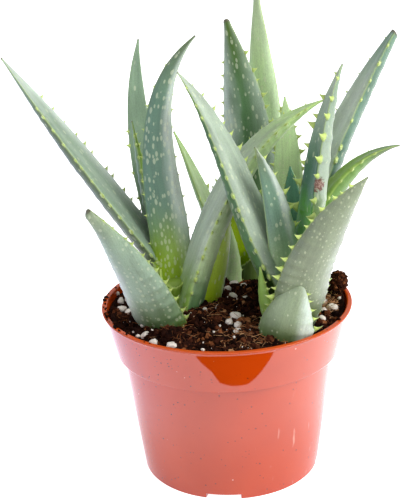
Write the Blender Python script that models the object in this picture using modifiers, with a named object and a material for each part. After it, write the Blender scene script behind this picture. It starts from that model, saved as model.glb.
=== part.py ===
"""Potted aloe: three rosettes of thick toothed leaves in a moulded nursery pot.

Standalone Blender 4.5 script. Units are metres, +Z is up, and the origin is the point
of the pot's axis that lies on the surface the pot stands on. The pot is one turned
shell, the soil is one packed mass inside it, and every leaf, stem, perlite grain and
clod is an object of its own. Where grown pieces press against each other, the later
one is carved by a slightly swollen copy of the earlier one, which leaves a hair of
clearance all the way round.
"""
import math
from dataclasses import dataclass

import bmesh
import bpy
import numpy as np

MM = 0.001
GAP = 0.3          # clearance between touching pieces, mm
LEAF_SWELL = 0.5   # how far the carving twin of a leaf stands off it, mm

# --- pot, mm -----------------------------------------------------------------
POT_HEIGHT = 84.0
LIP_RADIUS = 60.0
LIP_DEPTH = 1.1
LIP_INNER_RADIUS = 57.5
COLLAR_TOP_RADIUS = 58.9
COLLAR_FOOT_RADIUS = 54.0
COLLAR_DEPTH = 22.5
BODY_TOP_RADIUS = 51.0
BODY_FOOT_RADIUS = 43.0
POT_WALL = 1.4
FLOOR_TOP = 4.0
FLOOR_UNDERSIDE = 2.0
FOOT_RING_WIDTH = 4.0
PAD_RADIUS = 9.0
POT_STEPS = 48
SOIL_STEPS = 24
NOTCH_WIDTH = 16.0
NOTCH_HEIGHT = 2.6
NOTCH_ANGLES = (-96.0, -6.0, 84.0, 174.0)
DRAIN_RADIUS = 3.5
DRAIN_CIRCLE = 25.0
DRAIN_COUNT = 6
DRAIN_TURN = 0.37   # turn of the drain holes, part of the angle between two of them

# --- soil, mm ----------------------------------------------------------------
SOIL_EDGE_HEIGHT = 80.5
MOUND_HEIGHT = 5.5
MOUND_CENTRE = (-6.0, -8.0)
MOUND_SPREAD = 24.0
SOIL_RING_RADII = (51.0, 45.0, 38.0, 31.0, 24.0, 16.0, 8.0)

# --- leaf loft ---------------------------------------------------------------
LEAF_STATIONS = 9
INNER_POINTS = 5
OUTER_POINTS = 5
OUTER_ROUNDNESS = 2.2
NECK_LENGTH = 0.3
STATION_CROWDING = 0.9   # below 1, the stations draw closer towards the tip
THICKNESS_TAPER = 1.15   # how much faster than the width the thickness tapers
MARGIN_DROP = 0.25       # depth of the two margins, part of the thickness
TIP_SWELL = 3.0          # the carving twin's tip stands off this many times further


@dataclass(frozen=True)
class Leaf:
    """One leaf: hand-set points of its centreline in mm, then its section."""

    name: str
    points: tuple
    width: float
    thickness: float
    taper: float
    facing: tuple                  # outward azimuth at the base and at the tip, degrees
    channel: tuple = (0.03, 0.12)  # depth of the inner hollow over the width
    neck: float = 0.0
    colour: tuple = (0.20, 0.33, 0.22)


GREY_GREEN = (0.24, 0.36, 0.27)
BLUE_GREEN = (0.16, 0.30, 0.24)
FRESH_GREEN = (0.22, 0.38, 0.10)
PALE_GREEN = (0.34, 0.46, 0.28)

# The leaves of each rosette stand in the order in which they keep their full shape:
# the outer and front ones are whole, and the later ones are fitted around them.
LEFT_ROSETTE = (
    Leaf("leaf_a1_front_low", ((-28, -18, 77), (-42, -30, 119.5), (-58, -46, 148)),
         26, 9, 2.3, (-112, -125), colour=PALE_GREEN),
    Leaf("leaf_a2_arching", ((-24, -13, 86), (-8.5, -4, 130), (14, 6, 160), (48, 12, 178)),
         18, 12, 3.2, (12, 35), colour=GREY_GREEN),
    Leaf("leaf_a3_tall_curled",
         ((-24.5, -6, 96), (-28.5, -2, 151), (-24.5, 2, 190), (-10, 6, 211)),
         19.5, 7, 2.2, (105, 90), neck=0.08, colour=BLUE_GREEN),
    Leaf("leaf_a4_far_left", ((-20, 3, 95), (-41, 3, 127), (-62.3, 5, 156.6), (-99, 10, 203.5)),
         24, 8, 2.4, (172, 162), neck=0.65, colour=GREY_GREEN),
    Leaf("leaf_a5_slim", ((-25, 0, 96), (-33, 9, 130), (-41, 12, 171)),
         11, 3.5, 1.8, (158, 162), channel=(0.2, 0.3), colour=FRESH_GREEN),
    Leaf("leaf_a6_rear_upright",
         ((-25, 1, 94), (-34, 17, 135), (-39, 23, 178), (-37, 26, 206.5)),
         14, 5, 3.4, (110, 110), colour=BLUE_GREEN),
    Leaf("leaf_a7_short_green", ((-12.5, -3, 81), (-5, 0, 112), (1.5, 2, 137)),
         21, 7, 2.6, (-30, -30), colour=FRESH_GREEN),
)
BACK_ROSETTE = (
    Leaf("leaf_b1_stub", ((2.5, 31, 77), (3.5, 29, 96), (3, 28, 112)),
         10, 5, 2.2, (-90, -90), colour=PALE_GREEN),
    Leaf("leaf_b2_short_channel", ((10.5, 32.5, 79), (9, 33, 105), (6.5, 32, 129)),
         19, 6, 1.8, (95, 95), channel=(0.2, 0.2), colour=FRESH_GREEN),
    Leaf("leaf_b3_left_leaning", ((7, 34, 79), (-4, 33, 116), (-22.5, 30, 160.5)),
         16, 6, 2.0, (160, 150), colour=PALE_GREEN),
    Leaf("leaf_b4_broad_tall",
         ((14.5, 38, 81), (14.5, 40, 131), (11, 41, 172), (4, 41, 211.5)),
         28, 7, 3.0, (85, 80), colour=BLUE_GREEN),
    Leaf("leaf_b5_tallest", ((18, 42, 81), (22, 48, 144), (20.5, 51, 184), (19, 52, 220.5)),
         20, 6, 3.2, (80, 70), colour=PALE_GREEN),
)
RIGHT_ROSETTE = (
    Leaf("leaf_c1_front_stub", ((25.5, -33, 75), (28.5, -36, 93), (34, -37, 107)),
         26, 9, 2.6, (-95, -95), colour=PALE_GREEN),
    Leaf("leaf_c2_front_broad",
         ((30, -24, 77), (36.5, -30, 116), (47, -34, 137.5), (63, -36, 155)),
         28, 9, 3.6, (-62, -58), neck=0.5, colour=GREY_GREEN),
    Leaf("leaf_c3_low_left", ((24, -23, 79), (19, -26, 96), (16, -26, 111)),
         12, 5, 1.8, (-150, -150), colour=PALE_GREEN),
    Leaf("leaf_c4_long_leaning",
         ((33, -17, 94), (13, -16, 142), (-1, -12, 173), (-18.5, -8, 198)),
         23, 13, 2.1, (160, 135), channel=(0.0, 0.0), neck=0.4, colour=GREY_GREEN),
    Leaf("leaf_c5_young_centre", ((27.5, -19, 94), (24, -22, 138), (14.8, -20, 165.5)),
         14.5, 6, 3.0, (110, 110), colour=GREY_GREEN),
    Leaf("leaf_c6_upright_channel",
         ((31, -18, 95), (36.5, -18, 144), (43, -14, 173), (54.5, -8, 199)),
         21, 8, 2.6, (13, 15), channel=(0.1, 0.25), colour=BLUE_GREEN),
    Leaf("leaf_c7_right_reaching",
         ((36, -11, 95), (45, -7, 138.5), (58.5, -3, 151.5), (82, 0, 158.5)),
         19, 10, 2.3, (0, 5), colour=FRESH_GREEN),
    Leaf("leaf_c8_far_right",
         ((34, -4, 94), (43, 10, 140), (59.5, 16, 176), (81, 22, 207.5)),
         21, 8, 4.0, (20, 14), colour=GREY_GREEN),
    Leaf("leaf_c9_inner_dark", ((30, -8, 95), (32, 1, 124), (31.5, 3, 149)),
         14, 4, 3.4, (60, 60), colour=BLUE_GREEN),
    Leaf("leaf_c10_rear_pale", ((28, -3, 94), (31.5, 21, 136), (31, 30, 175.5)),
         17, 5, 3.4, (90, 90), colour=PALE_GREEN),
)

# Short stems that the leaves of a rosette sheathe: axis x, y, foot z, top z, radii.
STEMS = (
    ("stem_left", (-24.0, -6.0), 66.0, 99.0, 10.5, 7.0),
    ("stem_back", (12.0, 36.5), 66.0, 86.0, 9.5, 6.0),
    ("stem_right", (29.5, -14.0), 66.0, 101.0, 11.0, 7.5),
)
STEM_STEPS = 16

# Larger perlite grains: x, y and mean radius, mm.
GRAINS = (
    (3.8, -23.0, 2.4), (0.8, -27.5, 1.8), (4.8, -30.6, 2.1), (5.0, -36.2, 2.0),
    (4.0, 21.5, 2.3), (8.6, 19.5, 1.7), (1.0, 13.8, 1.8), (2.7, -1.2, 2.3),
    (9.0, -1.8, 1.8), (46.7, -0.8, 2.1), (45.7, -9.3, 1.5), (50.2, -6.8, 2.1),
    (44.1, -20.3, 1.8), (-51.4, 8.0, 1.7), (-50.4, -1.0, 2.0), (-46.0, -8.0, 2.2),
    (-37.5, -34.0, 2.4), (-33.5, -41.6, 2.0), (-25.0, -45.8, 2.2),
)
GRAIN_RISE = 0.15  # height of a grain's centre over the soil, part of its radius
LUMP_DEPTH = 0.08  # depth of the hollows of a grain or clod, part of its radius
PERLITE_WHITE = (0.80, 0.76, 0.70)
SOIL_BROWN = (0.055, 0.028, 0.016)

CLOD_CENTRE = (54.5, 9.0, 88.4)
CLOD_RADII = (4.6, 4.6, 4.7)


def clear_scene():
    """Remove every object that the opened file holds."""
    for obj in list(bpy.data.objects):
        bpy.data.objects.remove(obj, do_unlink=True)


def new_collection(name):
    """Return a new collection linked to the scene."""
    collection = bpy.data.collections.new(name)
    bpy.context.scene.collection.children.link(collection)
    return collection


def principled(name, colour, roughness):
    """Return a Principled material of one plain colour."""
    material = bpy.data.materials.new(name)
    material.use_nodes = True
    shader = material.node_tree.nodes["Principled BSDF"]
    shader.inputs["Base Color"].default_value = (*colour, 1.0)
    shader.inputs["Roughness"].default_value = roughness
    material.diffuse_color = (*colour, 1.0)
    return material


def add_object(name, mesh, collection, material=None):
    """Link a mesh into a collection as a smooth-shaded object."""
    obj = bpy.data.objects.new(name, mesh)
    collection.objects.link(obj)
    if material is not None:
        mesh.materials.append(material)
    mesh.shade_smooth()
    mesh.set_sharp_from_angle(angle=math.radians(40.0))
    return obj


def as_cutter(obj):
    """Hide a cutter from renders and draw it as a wire."""
    obj.hide_render = True
    obj.display_type = "WIRE"
    return obj


def baked_copy(obj, name):
    """Return the evaluated mesh of an object as a new mesh."""
    graph = bpy.context.evaluated_depsgraph_get()
    mesh = bpy.data.meshes.new_from_object(obj.evaluated_get(graph), depsgraph=graph)
    mesh.name = name
    return mesh


def triangulate(mesh):
    """Split the faces of a mesh into triangles, so that a cut meets only flat faces."""
    cage = bmesh.new()
    cage.from_mesh(mesh)
    bmesh.ops.triangulate(cage, faces=cage.faces)
    cage.to_mesh(mesh)
    cage.free()


# --- turned pieces -----------------------------------------------------------
def turned(name, profile, steps, collection, material=None, centre=(0.0, 0.0)):
    """Turn a profile of (radius, height) points in mm about a vertical axis."""
    mesh = bpy.data.meshes.new(name)
    points = [(r * MM, 0.0, z * MM) for r, z in profile]
    edges = [(i, i + 1) for i in range(len(points) - 1)]
    mesh.from_pydata(points, edges, [])
    guide = bpy.data.objects.new(name + "_profile", mesh)
    collection.objects.link(guide)
    screw = guide.modifiers.new("turn", "SCREW")
    screw.axis = "Z"
    screw.angle = math.tau
    screw.steps = steps
    screw.render_steps = steps
    screw.use_merge_vertices = True
    screw.merge_threshold = 0.00001
    turned_mesh = baked_copy(guide, name)
    triangulate(turned_mesh)
    bpy.data.objects.remove(guide, do_unlink=True)
    obj = add_object(name, turned_mesh, collection, material)
    obj.location = (centre[0] * MM, centre[1] * MM, 0.0)
    return obj


def pot_profile():
    """Profile of the pot from the middle of its floor, over the lip, to its foot."""
    ledge = POT_HEIGHT - COLLAR_DEPTH
    inner_ledge = ledge + POT_WALL
    lip_foot = POT_HEIGHT - LIP_DEPTH
    return (
        (0.0, FLOOR_TOP),
        (BODY_FOOT_RADIUS - POT_WALL + 0.4, FLOOR_TOP),
        (BODY_TOP_RADIUS - POT_WALL, inner_ledge),
        (COLLAR_FOOT_RADIUS - POT_WALL, inner_ledge),
        (LIP_INNER_RADIUS - 0.2, lip_foot),
        (LIP_INNER_RADIUS, POT_HEIGHT - 0.3),
        (LIP_INNER_RADIUS + 0.4, POT_HEIGHT),
        (LIP_RADIUS - 0.5, POT_HEIGHT),
        (LIP_RADIUS, POT_HEIGHT - 0.5),
        (LIP_RADIUS - 0.2, lip_foot),
        (COLLAR_TOP_RADIUS, lip_foot - 0.6),
        (COLLAR_FOOT_RADIUS, ledge + 0.8),
        (COLLAR_FOOT_RADIUS - 0.6, ledge),
        (BODY_TOP_RADIUS, ledge - 0.3),
        (BODY_FOOT_RADIUS, 0.8),
        (BODY_FOOT_RADIUS - 0.6, 0.0),
        (BODY_FOOT_RADIUS - FOOT_RING_WIDTH, 0.0),
        (BODY_FOOT_RADIUS - FOOT_RING_WIDTH - 0.4, FLOOR_UNDERSIDE),
        (PAD_RADIUS + 0.4, FLOOR_UNDERSIDE),
        (PAD_RADIUS, 0.0),
        (0.0, 0.0),
    )


def box_mesh(name, size, location, turn):
    """Return a box mesh of the given size and place in mm, turned about Z in degrees."""
    cage = bmesh.new()
    bmesh.ops.create_cube(cage, size=MM)
    bmesh.ops.scale(cage, vec=size, verts=cage.verts)
    bmesh.ops.translate(cage, vec=[v * MM for v in location], verts=cage.verts)
    spin = math.radians(turn)
    for vert in cage.verts:
        x, y = vert.co.x, vert.co.y
        vert.co.x = x * math.cos(spin) - y * math.sin(spin)
        vert.co.y = x * math.sin(spin) + y * math.cos(spin)
    mesh = bpy.data.meshes.new(name)
    cage.to_mesh(mesh)
    cage.free()
    return mesh


def build_pot(parts, cutters):
    """Turn the pot, then cut the notches of its foot ring and its drain holes."""
    pot = turned("pot", pot_profile(), POT_STEPS, parts,
                 principled("pot", (0.70, 0.17, 0.07), 0.28))
    tools = []
    ring_middle = BODY_FOOT_RADIUS - FOOT_RING_WIDTH / 2
    for index, angle in enumerate(NOTCH_ANGLES):
        size = (FOOT_RING_WIDTH * 2 + 4, NOTCH_WIDTH, NOTCH_HEIGHT * 2)
        mesh = box_mesh(f"notch_{index + 1}", size, (ring_middle, 0, 0), angle)
        tools.append(as_cutter(add_object(mesh.name, mesh, cutters)))
    for index in range(DRAIN_COUNT):
        angle = math.tau * (index + DRAIN_TURN) / DRAIN_COUNT
        profile = ((0.0, FLOOR_TOP + 2), (DRAIN_RADIUS, FLOOR_TOP + 2),
                   (DRAIN_RADIUS, FLOOR_UNDERSIDE - 1), (0.0, FLOOR_UNDERSIDE - 1))
        centre = (DRAIN_CIRCLE * math.cos(angle), DRAIN_CIRCLE * math.sin(angle))
        tools.append(as_cutter(turned(f"drain_{index + 1}", profile, 12, cutters,
                                      centre=centre)))
    carve(pot, tools)
    return pot


# --- soil --------------------------------------------------------------------
def soil_height(x, y):
    """Height of the soil's surface in mm: a level edge, a mound and shallow lumps."""
    mound = MOUND_HEIGHT * np.exp(
        -((x - MOUND_CENTRE[0]) ** 2 + (y - MOUND_CENTRE[1]) ** 2) / (2 * MOUND_SPREAD ** 2))
    lumps = 0.5 * np.sin(0.31 * x + 1.3) * np.cos(0.27 * y - 0.4)
    return SOIL_EDGE_HEIGHT + mound + lumps


def build_soil(parts):
    """Turn the packed soil and raise the mound of its top."""
    ledge = POT_HEIGHT - COLLAR_DEPTH + POT_WALL + GAP
    edge = LIP_INNER_RADIUS - GAP - 1.0
    rings = [(r, SOIL_EDGE_HEIGHT) for r in reversed(SOIL_RING_RADII)]
    profile = [(0.0, SOIL_EDGE_HEIGHT)] + rings + [
        (edge, SOIL_EDGE_HEIGHT - 0.6),
        (COLLAR_FOOT_RADIUS - POT_WALL - GAP, ledge),
        (BODY_TOP_RADIUS - POT_WALL - GAP - 0.05, ledge),
        (BODY_FOOT_RADIUS - POT_WALL - GAP, FLOOR_TOP + GAP),
        (0.0, FLOOR_TOP + GAP),
    ]
    soil = turned("soil", profile, SOIL_STEPS, parts,
                  principled("soil", SOIL_BROWN, 0.95))
    mesh = soil.data
    co = np.empty(len(mesh.vertices) * 3, dtype=np.float32)
    mesh.vertices.foreach_get("co", co)
    co = co.reshape(-1, 3)
    on_top = co[:, 2] > (SOIL_EDGE_HEIGHT - 0.3) * MM
    x, y = co[on_top, 0] / MM, co[on_top, 1] / MM
    co[on_top, 2] = soil_height(x, y) * MM
    mesh.vertices.foreach_set("co", co.ravel())
    mesh.update()
    return soil


# --- leaves ------------------------------------------------------------------
def through_points(points, count):
    """Sample the smooth polynomial curve that passes through a few hand-set points."""
    points = np.asarray(points, dtype=float)
    chords = np.linalg.norm(np.diff(points, axis=0), axis=1)
    knots = np.concatenate(([0.0], np.cumsum(chords)))
    knots /= knots[-1]
    fine = np.linspace(0.0, 1.0, 200)
    curve = np.zeros((fine.size, 3))
    for i, point in enumerate(points):
        weight = np.ones(fine.size)
        for j, knot in enumerate(knots):
            if j != i:
                weight *= (fine - knot) / (knots[i] - knot)
        curve += weight[:, None] * point
    length = np.concatenate(([0.0], np.cumsum(np.linalg.norm(np.diff(curve, axis=0), axis=1))))
    even = np.linspace(0.0, length[-1], count)
    return np.stack([np.interp(even, length, curve[:, k]) for k in range(3)], axis=1)


def unit(vectors):
    """Scale vectors to length one."""
    return vectors / np.linalg.norm(vectors, axis=-1, keepdims=True)


def leaf_mesh(leaf, swell=0.0):
    """Loft one leaf: flat or hollow inner face, full outer face, pointed tip.

    swell is the distance in mm by which every face moves outwards.
    """
    t = np.linspace(0.0, 1.0, LEAF_STATIONS) ** STATION_CROWDING
    dense = through_points(leaf.points, 400)
    place = t * (len(dense) - 1)
    centre = np.stack([np.interp(place, np.arange(len(dense)), dense[:, k])
                       for k in range(3)], axis=1)
    slope = unit(np.gradient(dense, axis=0))
    along = unit(np.stack([np.interp(place, np.arange(len(dense)), slope[:, k])
                           for k in range(3)], axis=1))
    azimuth = np.radians(leaf.facing[0] + (leaf.facing[1] - leaf.facing[0]) * t)
    across = np.stack([-np.sin(azimuth), np.cos(azimuth), np.zeros_like(t)], axis=1)
    face = unit(np.cross(along, across))
    across = np.cross(face, along)

    narrowing = 1 - leaf.neck * np.clip(1 - t / NECK_LENGTH, 0, 1) ** 2
    half = 0.5 * leaf.width * (1 - t ** leaf.taper) * narrowing
    depth = leaf.thickness * (1 - t ** (leaf.taper * THICKNESS_TAPER))
    hollow = (leaf.channel[0] + (leaf.channel[1] - leaf.channel[0]) * t) * 2 * half

    side_in = np.cos(np.linspace(0, math.pi, INNER_POINTS))
    side_out = np.cos(np.linspace(math.pi, math.tau, OUTER_POINTS + 2))[1:-1]
    rings = []
    for i in range(LEAF_STATIONS - 1):
        reach = half[i] + swell
        inner = -hollow[i] * (1 - side_in ** 2) + swell
        bulge = np.sqrt(1 - np.abs(side_out) ** OUTER_ROUNDNESS)
        outer = -(depth[i] + hollow[i]) * bulge - swell
        sides = np.concatenate((side_in, side_out)) * reach
        lifts = np.concatenate((inner, outer))
        lifts[[0, INNER_POINTS - 1]] = -MARGIN_DROP * depth[i]
        ring = centre[i] + np.outer(sides, across[i]) + np.outer(lifts, face[i])
        rings.append(ring)
    rings[0] = rings[0] - along[0] * swell
    tip = centre[-1] + (along[-1] * TIP_SWELL + face[-1]) * swell

    size = INNER_POINTS + OUTER_POINTS
    cage = bmesh.new()
    rows = [[cage.verts.new(p * MM) for p in ring] for ring in rings]
    for low, high in zip(rows, rows[1:]):
        for k in range(size):
            after = (k + 1) % size
            cage.faces.new((low[k], high[k], high[after], low[after]))
    point = cage.verts.new(tip * MM)
    for k in range(size):
        cage.faces.new((rows[-1][k], point, rows[-1][(k + 1) % size]))
    root = cage.verts.new(rings[0].mean(axis=0) * MM)
    for k in range(size):
        cage.faces.new((rows[0][(k + 1) % size], root, rows[0][k]))
    bmesh.ops.recalc_face_normals(cage, faces=cage.faces)
    bmesh.ops.triangulate(cage, faces=cage.faces)
    mesh = bpy.data.meshes.new(leaf.name)
    cage.to_mesh(mesh)
    cage.free()
    return mesh


# --- carving -----------------------------------------------------------------
def bounds(obj):
    """Lowest and highest corner of an object's world box."""
    corners = np.array([obj.matrix_world @ v.co for v in obj.data.vertices])
    return corners.min(axis=0), corners.max(axis=0)


def boxes_meet(first, second):
    """True if the world boxes of two objects overlap."""
    low_a, high_a = bounds(first)
    low_b, high_b = bounds(second)
    return bool((low_a < high_b).all() and (low_b < high_a).all())


def keep_largest_body(mesh):
    """Delete every body of a mesh but the one with the largest volume."""
    cage = bmesh.new()
    cage.from_mesh(mesh)
    left = set(cage.verts)
    bodies = []
    while left:
        stack = [left.pop()]
        body = set(stack)
        while stack:
            for edge in stack.pop().link_edges:
                for vert in edge.verts:
                    if vert not in body:
                        body.add(vert)
                        stack.append(vert)
        left -= body
        bodies.append(body)

    def volume(body):
        faces = {face for vert in body for face in vert.link_faces}
        return abs(sum(face.calc_area() * face.normal.dot(face.calc_center_median())
                       for face in faces)) / 3.0

    if len(bodies) > 1:
        largest = max(bodies, key=volume)
        spare = [vert for body in bodies if body is not largest for vert in body]
        bmesh.ops.delete(cage, geom=spare, context="VERTS")
        cage.to_mesh(mesh)
    cage.free()


def carve(obj, tools):
    """Cut an object with each tool that reaches it and keep its main body."""
    bpy.context.view_layer.update()
    near = [tool for tool in tools if boxes_meet(obj, tool)]
    if not near:
        return
    for tool in near:
        cut = obj.modifiers.new("cut_" + tool.name, "BOOLEAN")
        cut.operation = "DIFFERENCE"
        cut.solver = "EXACT"
        cut.object = tool
    bpy.context.view_layer.update()
    mesh = baked_copy(obj, obj.name)
    obj.modifiers.clear()
    obj.data = mesh
    keep_largest_body(mesh)
    mesh.shade_smooth()
    mesh.set_sharp_from_angle(angle=math.radians(40.0))


# --- small pieces ------------------------------------------------------------
def lump_mesh(name, radii, seed, swell=0.0):
    """Return an irregular rounded lump about its own centre, radii in mm."""
    cage = bmesh.new()
    bmesh.ops.create_icosphere(cage, subdivisions=2, radius=1.0)
    for vert in cage.verts:
        x, y, z = vert.co
        wave = math.sin(2.1 * x + seed) * math.cos(2.7 * y - 0.6 * seed) + math.sin(
            1.9 * z + 1.7 * seed)
        grow = 1 + LUMP_DEPTH * wave
        vert.co = [(c * r * grow + c * swell) * MM for c, r in zip((x, y, z), radii)]
    mesh = bpy.data.meshes.new(name)
    cage.to_mesh(mesh)
    cage.free()
    return mesh


def stem_profile(foot, top, foot_radius, top_radius, swell=0.0):
    """Profile of a short stem: a tapered core with a domed top."""
    dome = 4.0
    return (
        (0.0, top + swell),
        (top_radius * 0.6 + swell, top - dome * 0.25 + swell),
        (top_radius + swell, top - dome + swell),
        (foot_radius + swell, foot + 8.0),
        (foot_radius * 0.7 + swell, foot - swell),
        (0.0, foot - swell),
    )


def build_small_pieces(parts, cutters):
    """Make the perlite grains and the clod, with a swollen twin of each as a cutter."""
    tools = []
    for index, (x, y, radius) in enumerate(GRAINS):
        name = f"perlite_{index + 1:02d}"
        radii = (radius * 1.15, radius, radius * 0.85)
        rise = soil_height(x, y) + radius * GRAIN_RISE
        grain = add_object(name, lump_mesh(name, radii, index + 1), parts,
                           principled(name, PERLITE_WHITE, 0.85))
        twin_mesh = lump_mesh(name + "_seat", radii, index + 1, swell=GAP)
        twin = as_cutter(add_object(name + "_seat", twin_mesh, cutters))
        for piece in (grain, twin):
            piece.location = (x * MM, y * MM, rise * MM)
            piece.rotation_euler = (0.0, 0.0, 1.1 * index)
        tools.append(twin)
    clod = add_object("clod", lump_mesh("clod", CLOD_RADII, 5), parts,
                      principled("clod", SOIL_BROWN, 0.95))
    seat = as_cutter(add_object("clod_seat", lump_mesh("clod_seat", CLOD_RADII, 5, swell=GAP),
                                cutters))
    for piece in (clod, seat):
        piece.location = [c * MM for c in CLOD_CENTRE]
    tools.append(seat)
    return tools


def build_plants(parts, cutters):
    """Make stems and leaves; each later piece is fitted around the earlier ones."""
    tools = []
    for name, centre, foot, top, foot_radius, top_radius in STEMS:
        turned(name, stem_profile(foot, top, foot_radius, top_radius), STEM_STEPS, parts,
               principled(name, (0.45, 0.52, 0.18), 0.5), centre)
        twin = turned(name + "_seat", stem_profile(foot, top, foot_radius, top_radius, GAP),
                      STEM_STEPS, cutters, centre=centre)
        tools.append(as_cutter(twin))
    for leaf in RIGHT_ROSETTE + LEFT_ROSETTE + BACK_ROSETTE:
        blade = add_object(leaf.name, leaf_mesh(leaf), parts,
                           principled(leaf.name, leaf.colour, 0.45))
        carve(blade, tools)
        twin_mesh = leaf_mesh(leaf, swell=LEAF_SWELL)
        twin_mesh.name = leaf.name + "_seat"
        tools.append(as_cutter(add_object(leaf.name + "_seat", twin_mesh, cutters)))
    return tools


def main():
    """Build the pot, the plants, the loose pieces and the soil around them."""
    clear_scene()
    parts = new_collection("potted_aloe")
    cutters = new_collection("cutters")
    build_pot(parts, cutters)
    plant_tools = build_plants(parts, cutters)
    loose_tools = build_small_pieces(parts, cutters)
    soil = build_soil(parts)
    carve(soil, plant_tools + loose_tools)


main()
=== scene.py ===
"""Looks of a potted aloe: a moulded nursery pot, loose potting soil and three toothed rosettes.

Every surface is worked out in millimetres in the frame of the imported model:
+Z runs up the pot's axis, +Y points away from the viewer at the front, and the origin
is the point of the axis on the surface that the pot stands on.
"""
import logging
import math
from dataclasses import dataclass, field
from enum import Enum, IntEnum

import bpy
import numpy as np
from bpy.types import Material, Node, NodeSocket as Socket, NodeTree, Object
from mathutils import Matrix, Vector


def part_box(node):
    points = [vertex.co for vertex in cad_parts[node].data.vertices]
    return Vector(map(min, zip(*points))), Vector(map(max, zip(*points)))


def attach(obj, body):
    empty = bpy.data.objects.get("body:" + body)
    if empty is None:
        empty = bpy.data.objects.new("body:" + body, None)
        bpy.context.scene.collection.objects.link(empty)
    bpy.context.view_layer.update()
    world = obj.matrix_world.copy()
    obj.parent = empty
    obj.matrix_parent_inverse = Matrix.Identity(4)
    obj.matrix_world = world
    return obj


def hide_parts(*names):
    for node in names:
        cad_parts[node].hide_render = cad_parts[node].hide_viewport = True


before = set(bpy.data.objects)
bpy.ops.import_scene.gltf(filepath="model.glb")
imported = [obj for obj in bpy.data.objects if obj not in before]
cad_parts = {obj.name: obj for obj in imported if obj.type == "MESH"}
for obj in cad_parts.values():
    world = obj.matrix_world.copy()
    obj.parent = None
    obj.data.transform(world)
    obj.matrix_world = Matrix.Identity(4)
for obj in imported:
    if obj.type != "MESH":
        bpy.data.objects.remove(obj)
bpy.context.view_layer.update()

LOG = logging.getLogger("potted_aloe")
MM = 0.001
Array = np.ndarray
Pair = tuple[float, float]
Triple = tuple[float, float, float]
Colour = Triple


# --- meshes ---
@dataclass
class Shell:
    """A mesh in the making.

    Attributes:
        points: places of the vertices in mm, one row each.
        faces: arrays of vertex numbers, four columns for quads or three for triangles.
        values: point attributes by name, one number or one vector for each vertex.
    """

    points: Array
    faces: list[Array]
    values: dict[str, Array] = field(default_factory=dict)

    def volume(self) -> float:
        """Signed volume in cubic mm: positive when the faces look outwards.

        Returns:
            Cubic mm.
        """
        total = 0.0
        for block in self.faces:
            a, b = self.points[block[:, 0]], self.points[block[:, 1]]
            for corner in range(2, block.shape[1]):
                c = self.points[block[:, corner]]
                total += float(np.einsum("ij,ij->i", a, np.cross(b, c)).sum())
                b = c
        return total / 6.0

    def outward(self) -> "Shell":
        """Turns the faces round if they look inwards, and returns the shell."""
        if self.volume() < 0:
            self.faces = [block[:, ::-1] for block in self.faces]
        return self


def join(shells: list[Shell]) -> Shell:
    """Puts several shells into one.

    Args:
        shells: shells with the same attribute names.

    Returns:
        One shell that holds all their points, faces and values.
    """
    starts = np.cumsum([0] + [len(s.points) for s in shells[:-1]])
    faces = [block + start for s, start in zip(shells, starts) for block in s.faces]
    names = shells[0].values
    values = {name: np.concatenate([s.values[name] for s in shells]) for name in names}
    return Shell(np.concatenate([s.points for s in shells]), faces, values)


def skin(rows: int, around: int) -> list[Array]:
    """Numbers the faces of a closed skin over a stack of rings.

    The points are numbered ring by ring, and then come the first and the last pole.

    Args:
        rows: number of rings.
        around: points in each ring.

    Returns:
        The quads between the rings, and the triangles that close both ends.
    """
    low = np.arange(rows - 1)[:, None] * around
    here = np.arange(around)[None, :]
    after = (here + 1) % around
    quads = np.stack([low + here, low + after, low + around + after, low + around + here], axis=-1)
    pole, last = rows * around, (rows - 1) * around
    start = np.stack([np.full(around, pole), after[0], here[0]], axis=-1)
    end = np.stack([np.full(around, pole + 1), last + here[0], last + after[0]], axis=-1)
    return [quads.reshape(-1, 4), np.concatenate([start, end])]


def close_rings(rings: Array, poles: Array, values: dict[str, Array] | None = None) -> Shell:
    """Skins one or many stacks of rings, each closed at both ends by a pole.

    Args:
        rings: points in mm, shaped (copies, rows, around, 3).
        poles: end points in mm, shaped (copies, 2, 3).
        values: attributes at the ring points, shaped (copies, rows, around) or with a
            last axis of 3; an axis of 1 is repeated. A pole takes the mean of its ring.

    Returns:
        One shell that holds every copy.
    """
    copies, rows, around, _ = rings.shape
    points = np.concatenate([rings.reshape(copies, -1, 3), poles], axis=1)
    step = rows * around + 2
    shift = (np.arange(copies) * step)[:, None, None]
    faces = [(block[None] + shift).reshape(-1, block.shape[1]) for block in skin(rows, around)]
    spread = {}
    for name, value in (values or {}).items():
        value = np.broadcast_to(value, rings.shape[:3] + value.shape[3:])
        ends = value[:, [0, -1]].mean(axis=2)
        flat = value.reshape(copies, rows * around, *value.shape[3:])
        joined = np.concatenate([flat, ends], axis=1)
        spread[name] = joined.reshape(copies * step, *value.shape[3:])
    return Shell(points.reshape(-1, 3), faces, spread)


def make_object(name: str, shell: Shell, smooth: bool = True) -> Object:
    """Turns a shell into a mesh object at the origin.

    Args:
        name: name of the object and of its mesh.
        shell: the shell, in mm.
        smooth: True for smooth shading.

    Returns:
        The new object, linked to the scene.
    """
    mesh = bpy.data.meshes.new(name)
    faces = [row for block in shell.faces for row in block.tolist()]
    mesh.from_pydata((shell.points * MM).tolist(), [], faces)
    for key, value in shell.values.items():
        kind, slot = ("FLOAT", "value") if value.ndim == 1 else ("FLOAT_VECTOR", "vector")
        attribute = mesh.attributes.new(key, kind, "POINT")
        attribute.data.foreach_set(slot, np.ascontiguousarray(value, dtype=np.float32).ravel())
    mesh.polygons.foreach_set("use_smooth", np.full(len(mesh.polygons), smooth))
    mesh.update()
    obj = bpy.data.objects.new(name, mesh)
    bpy.context.scene.collection.objects.link(obj)
    return obj


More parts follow.
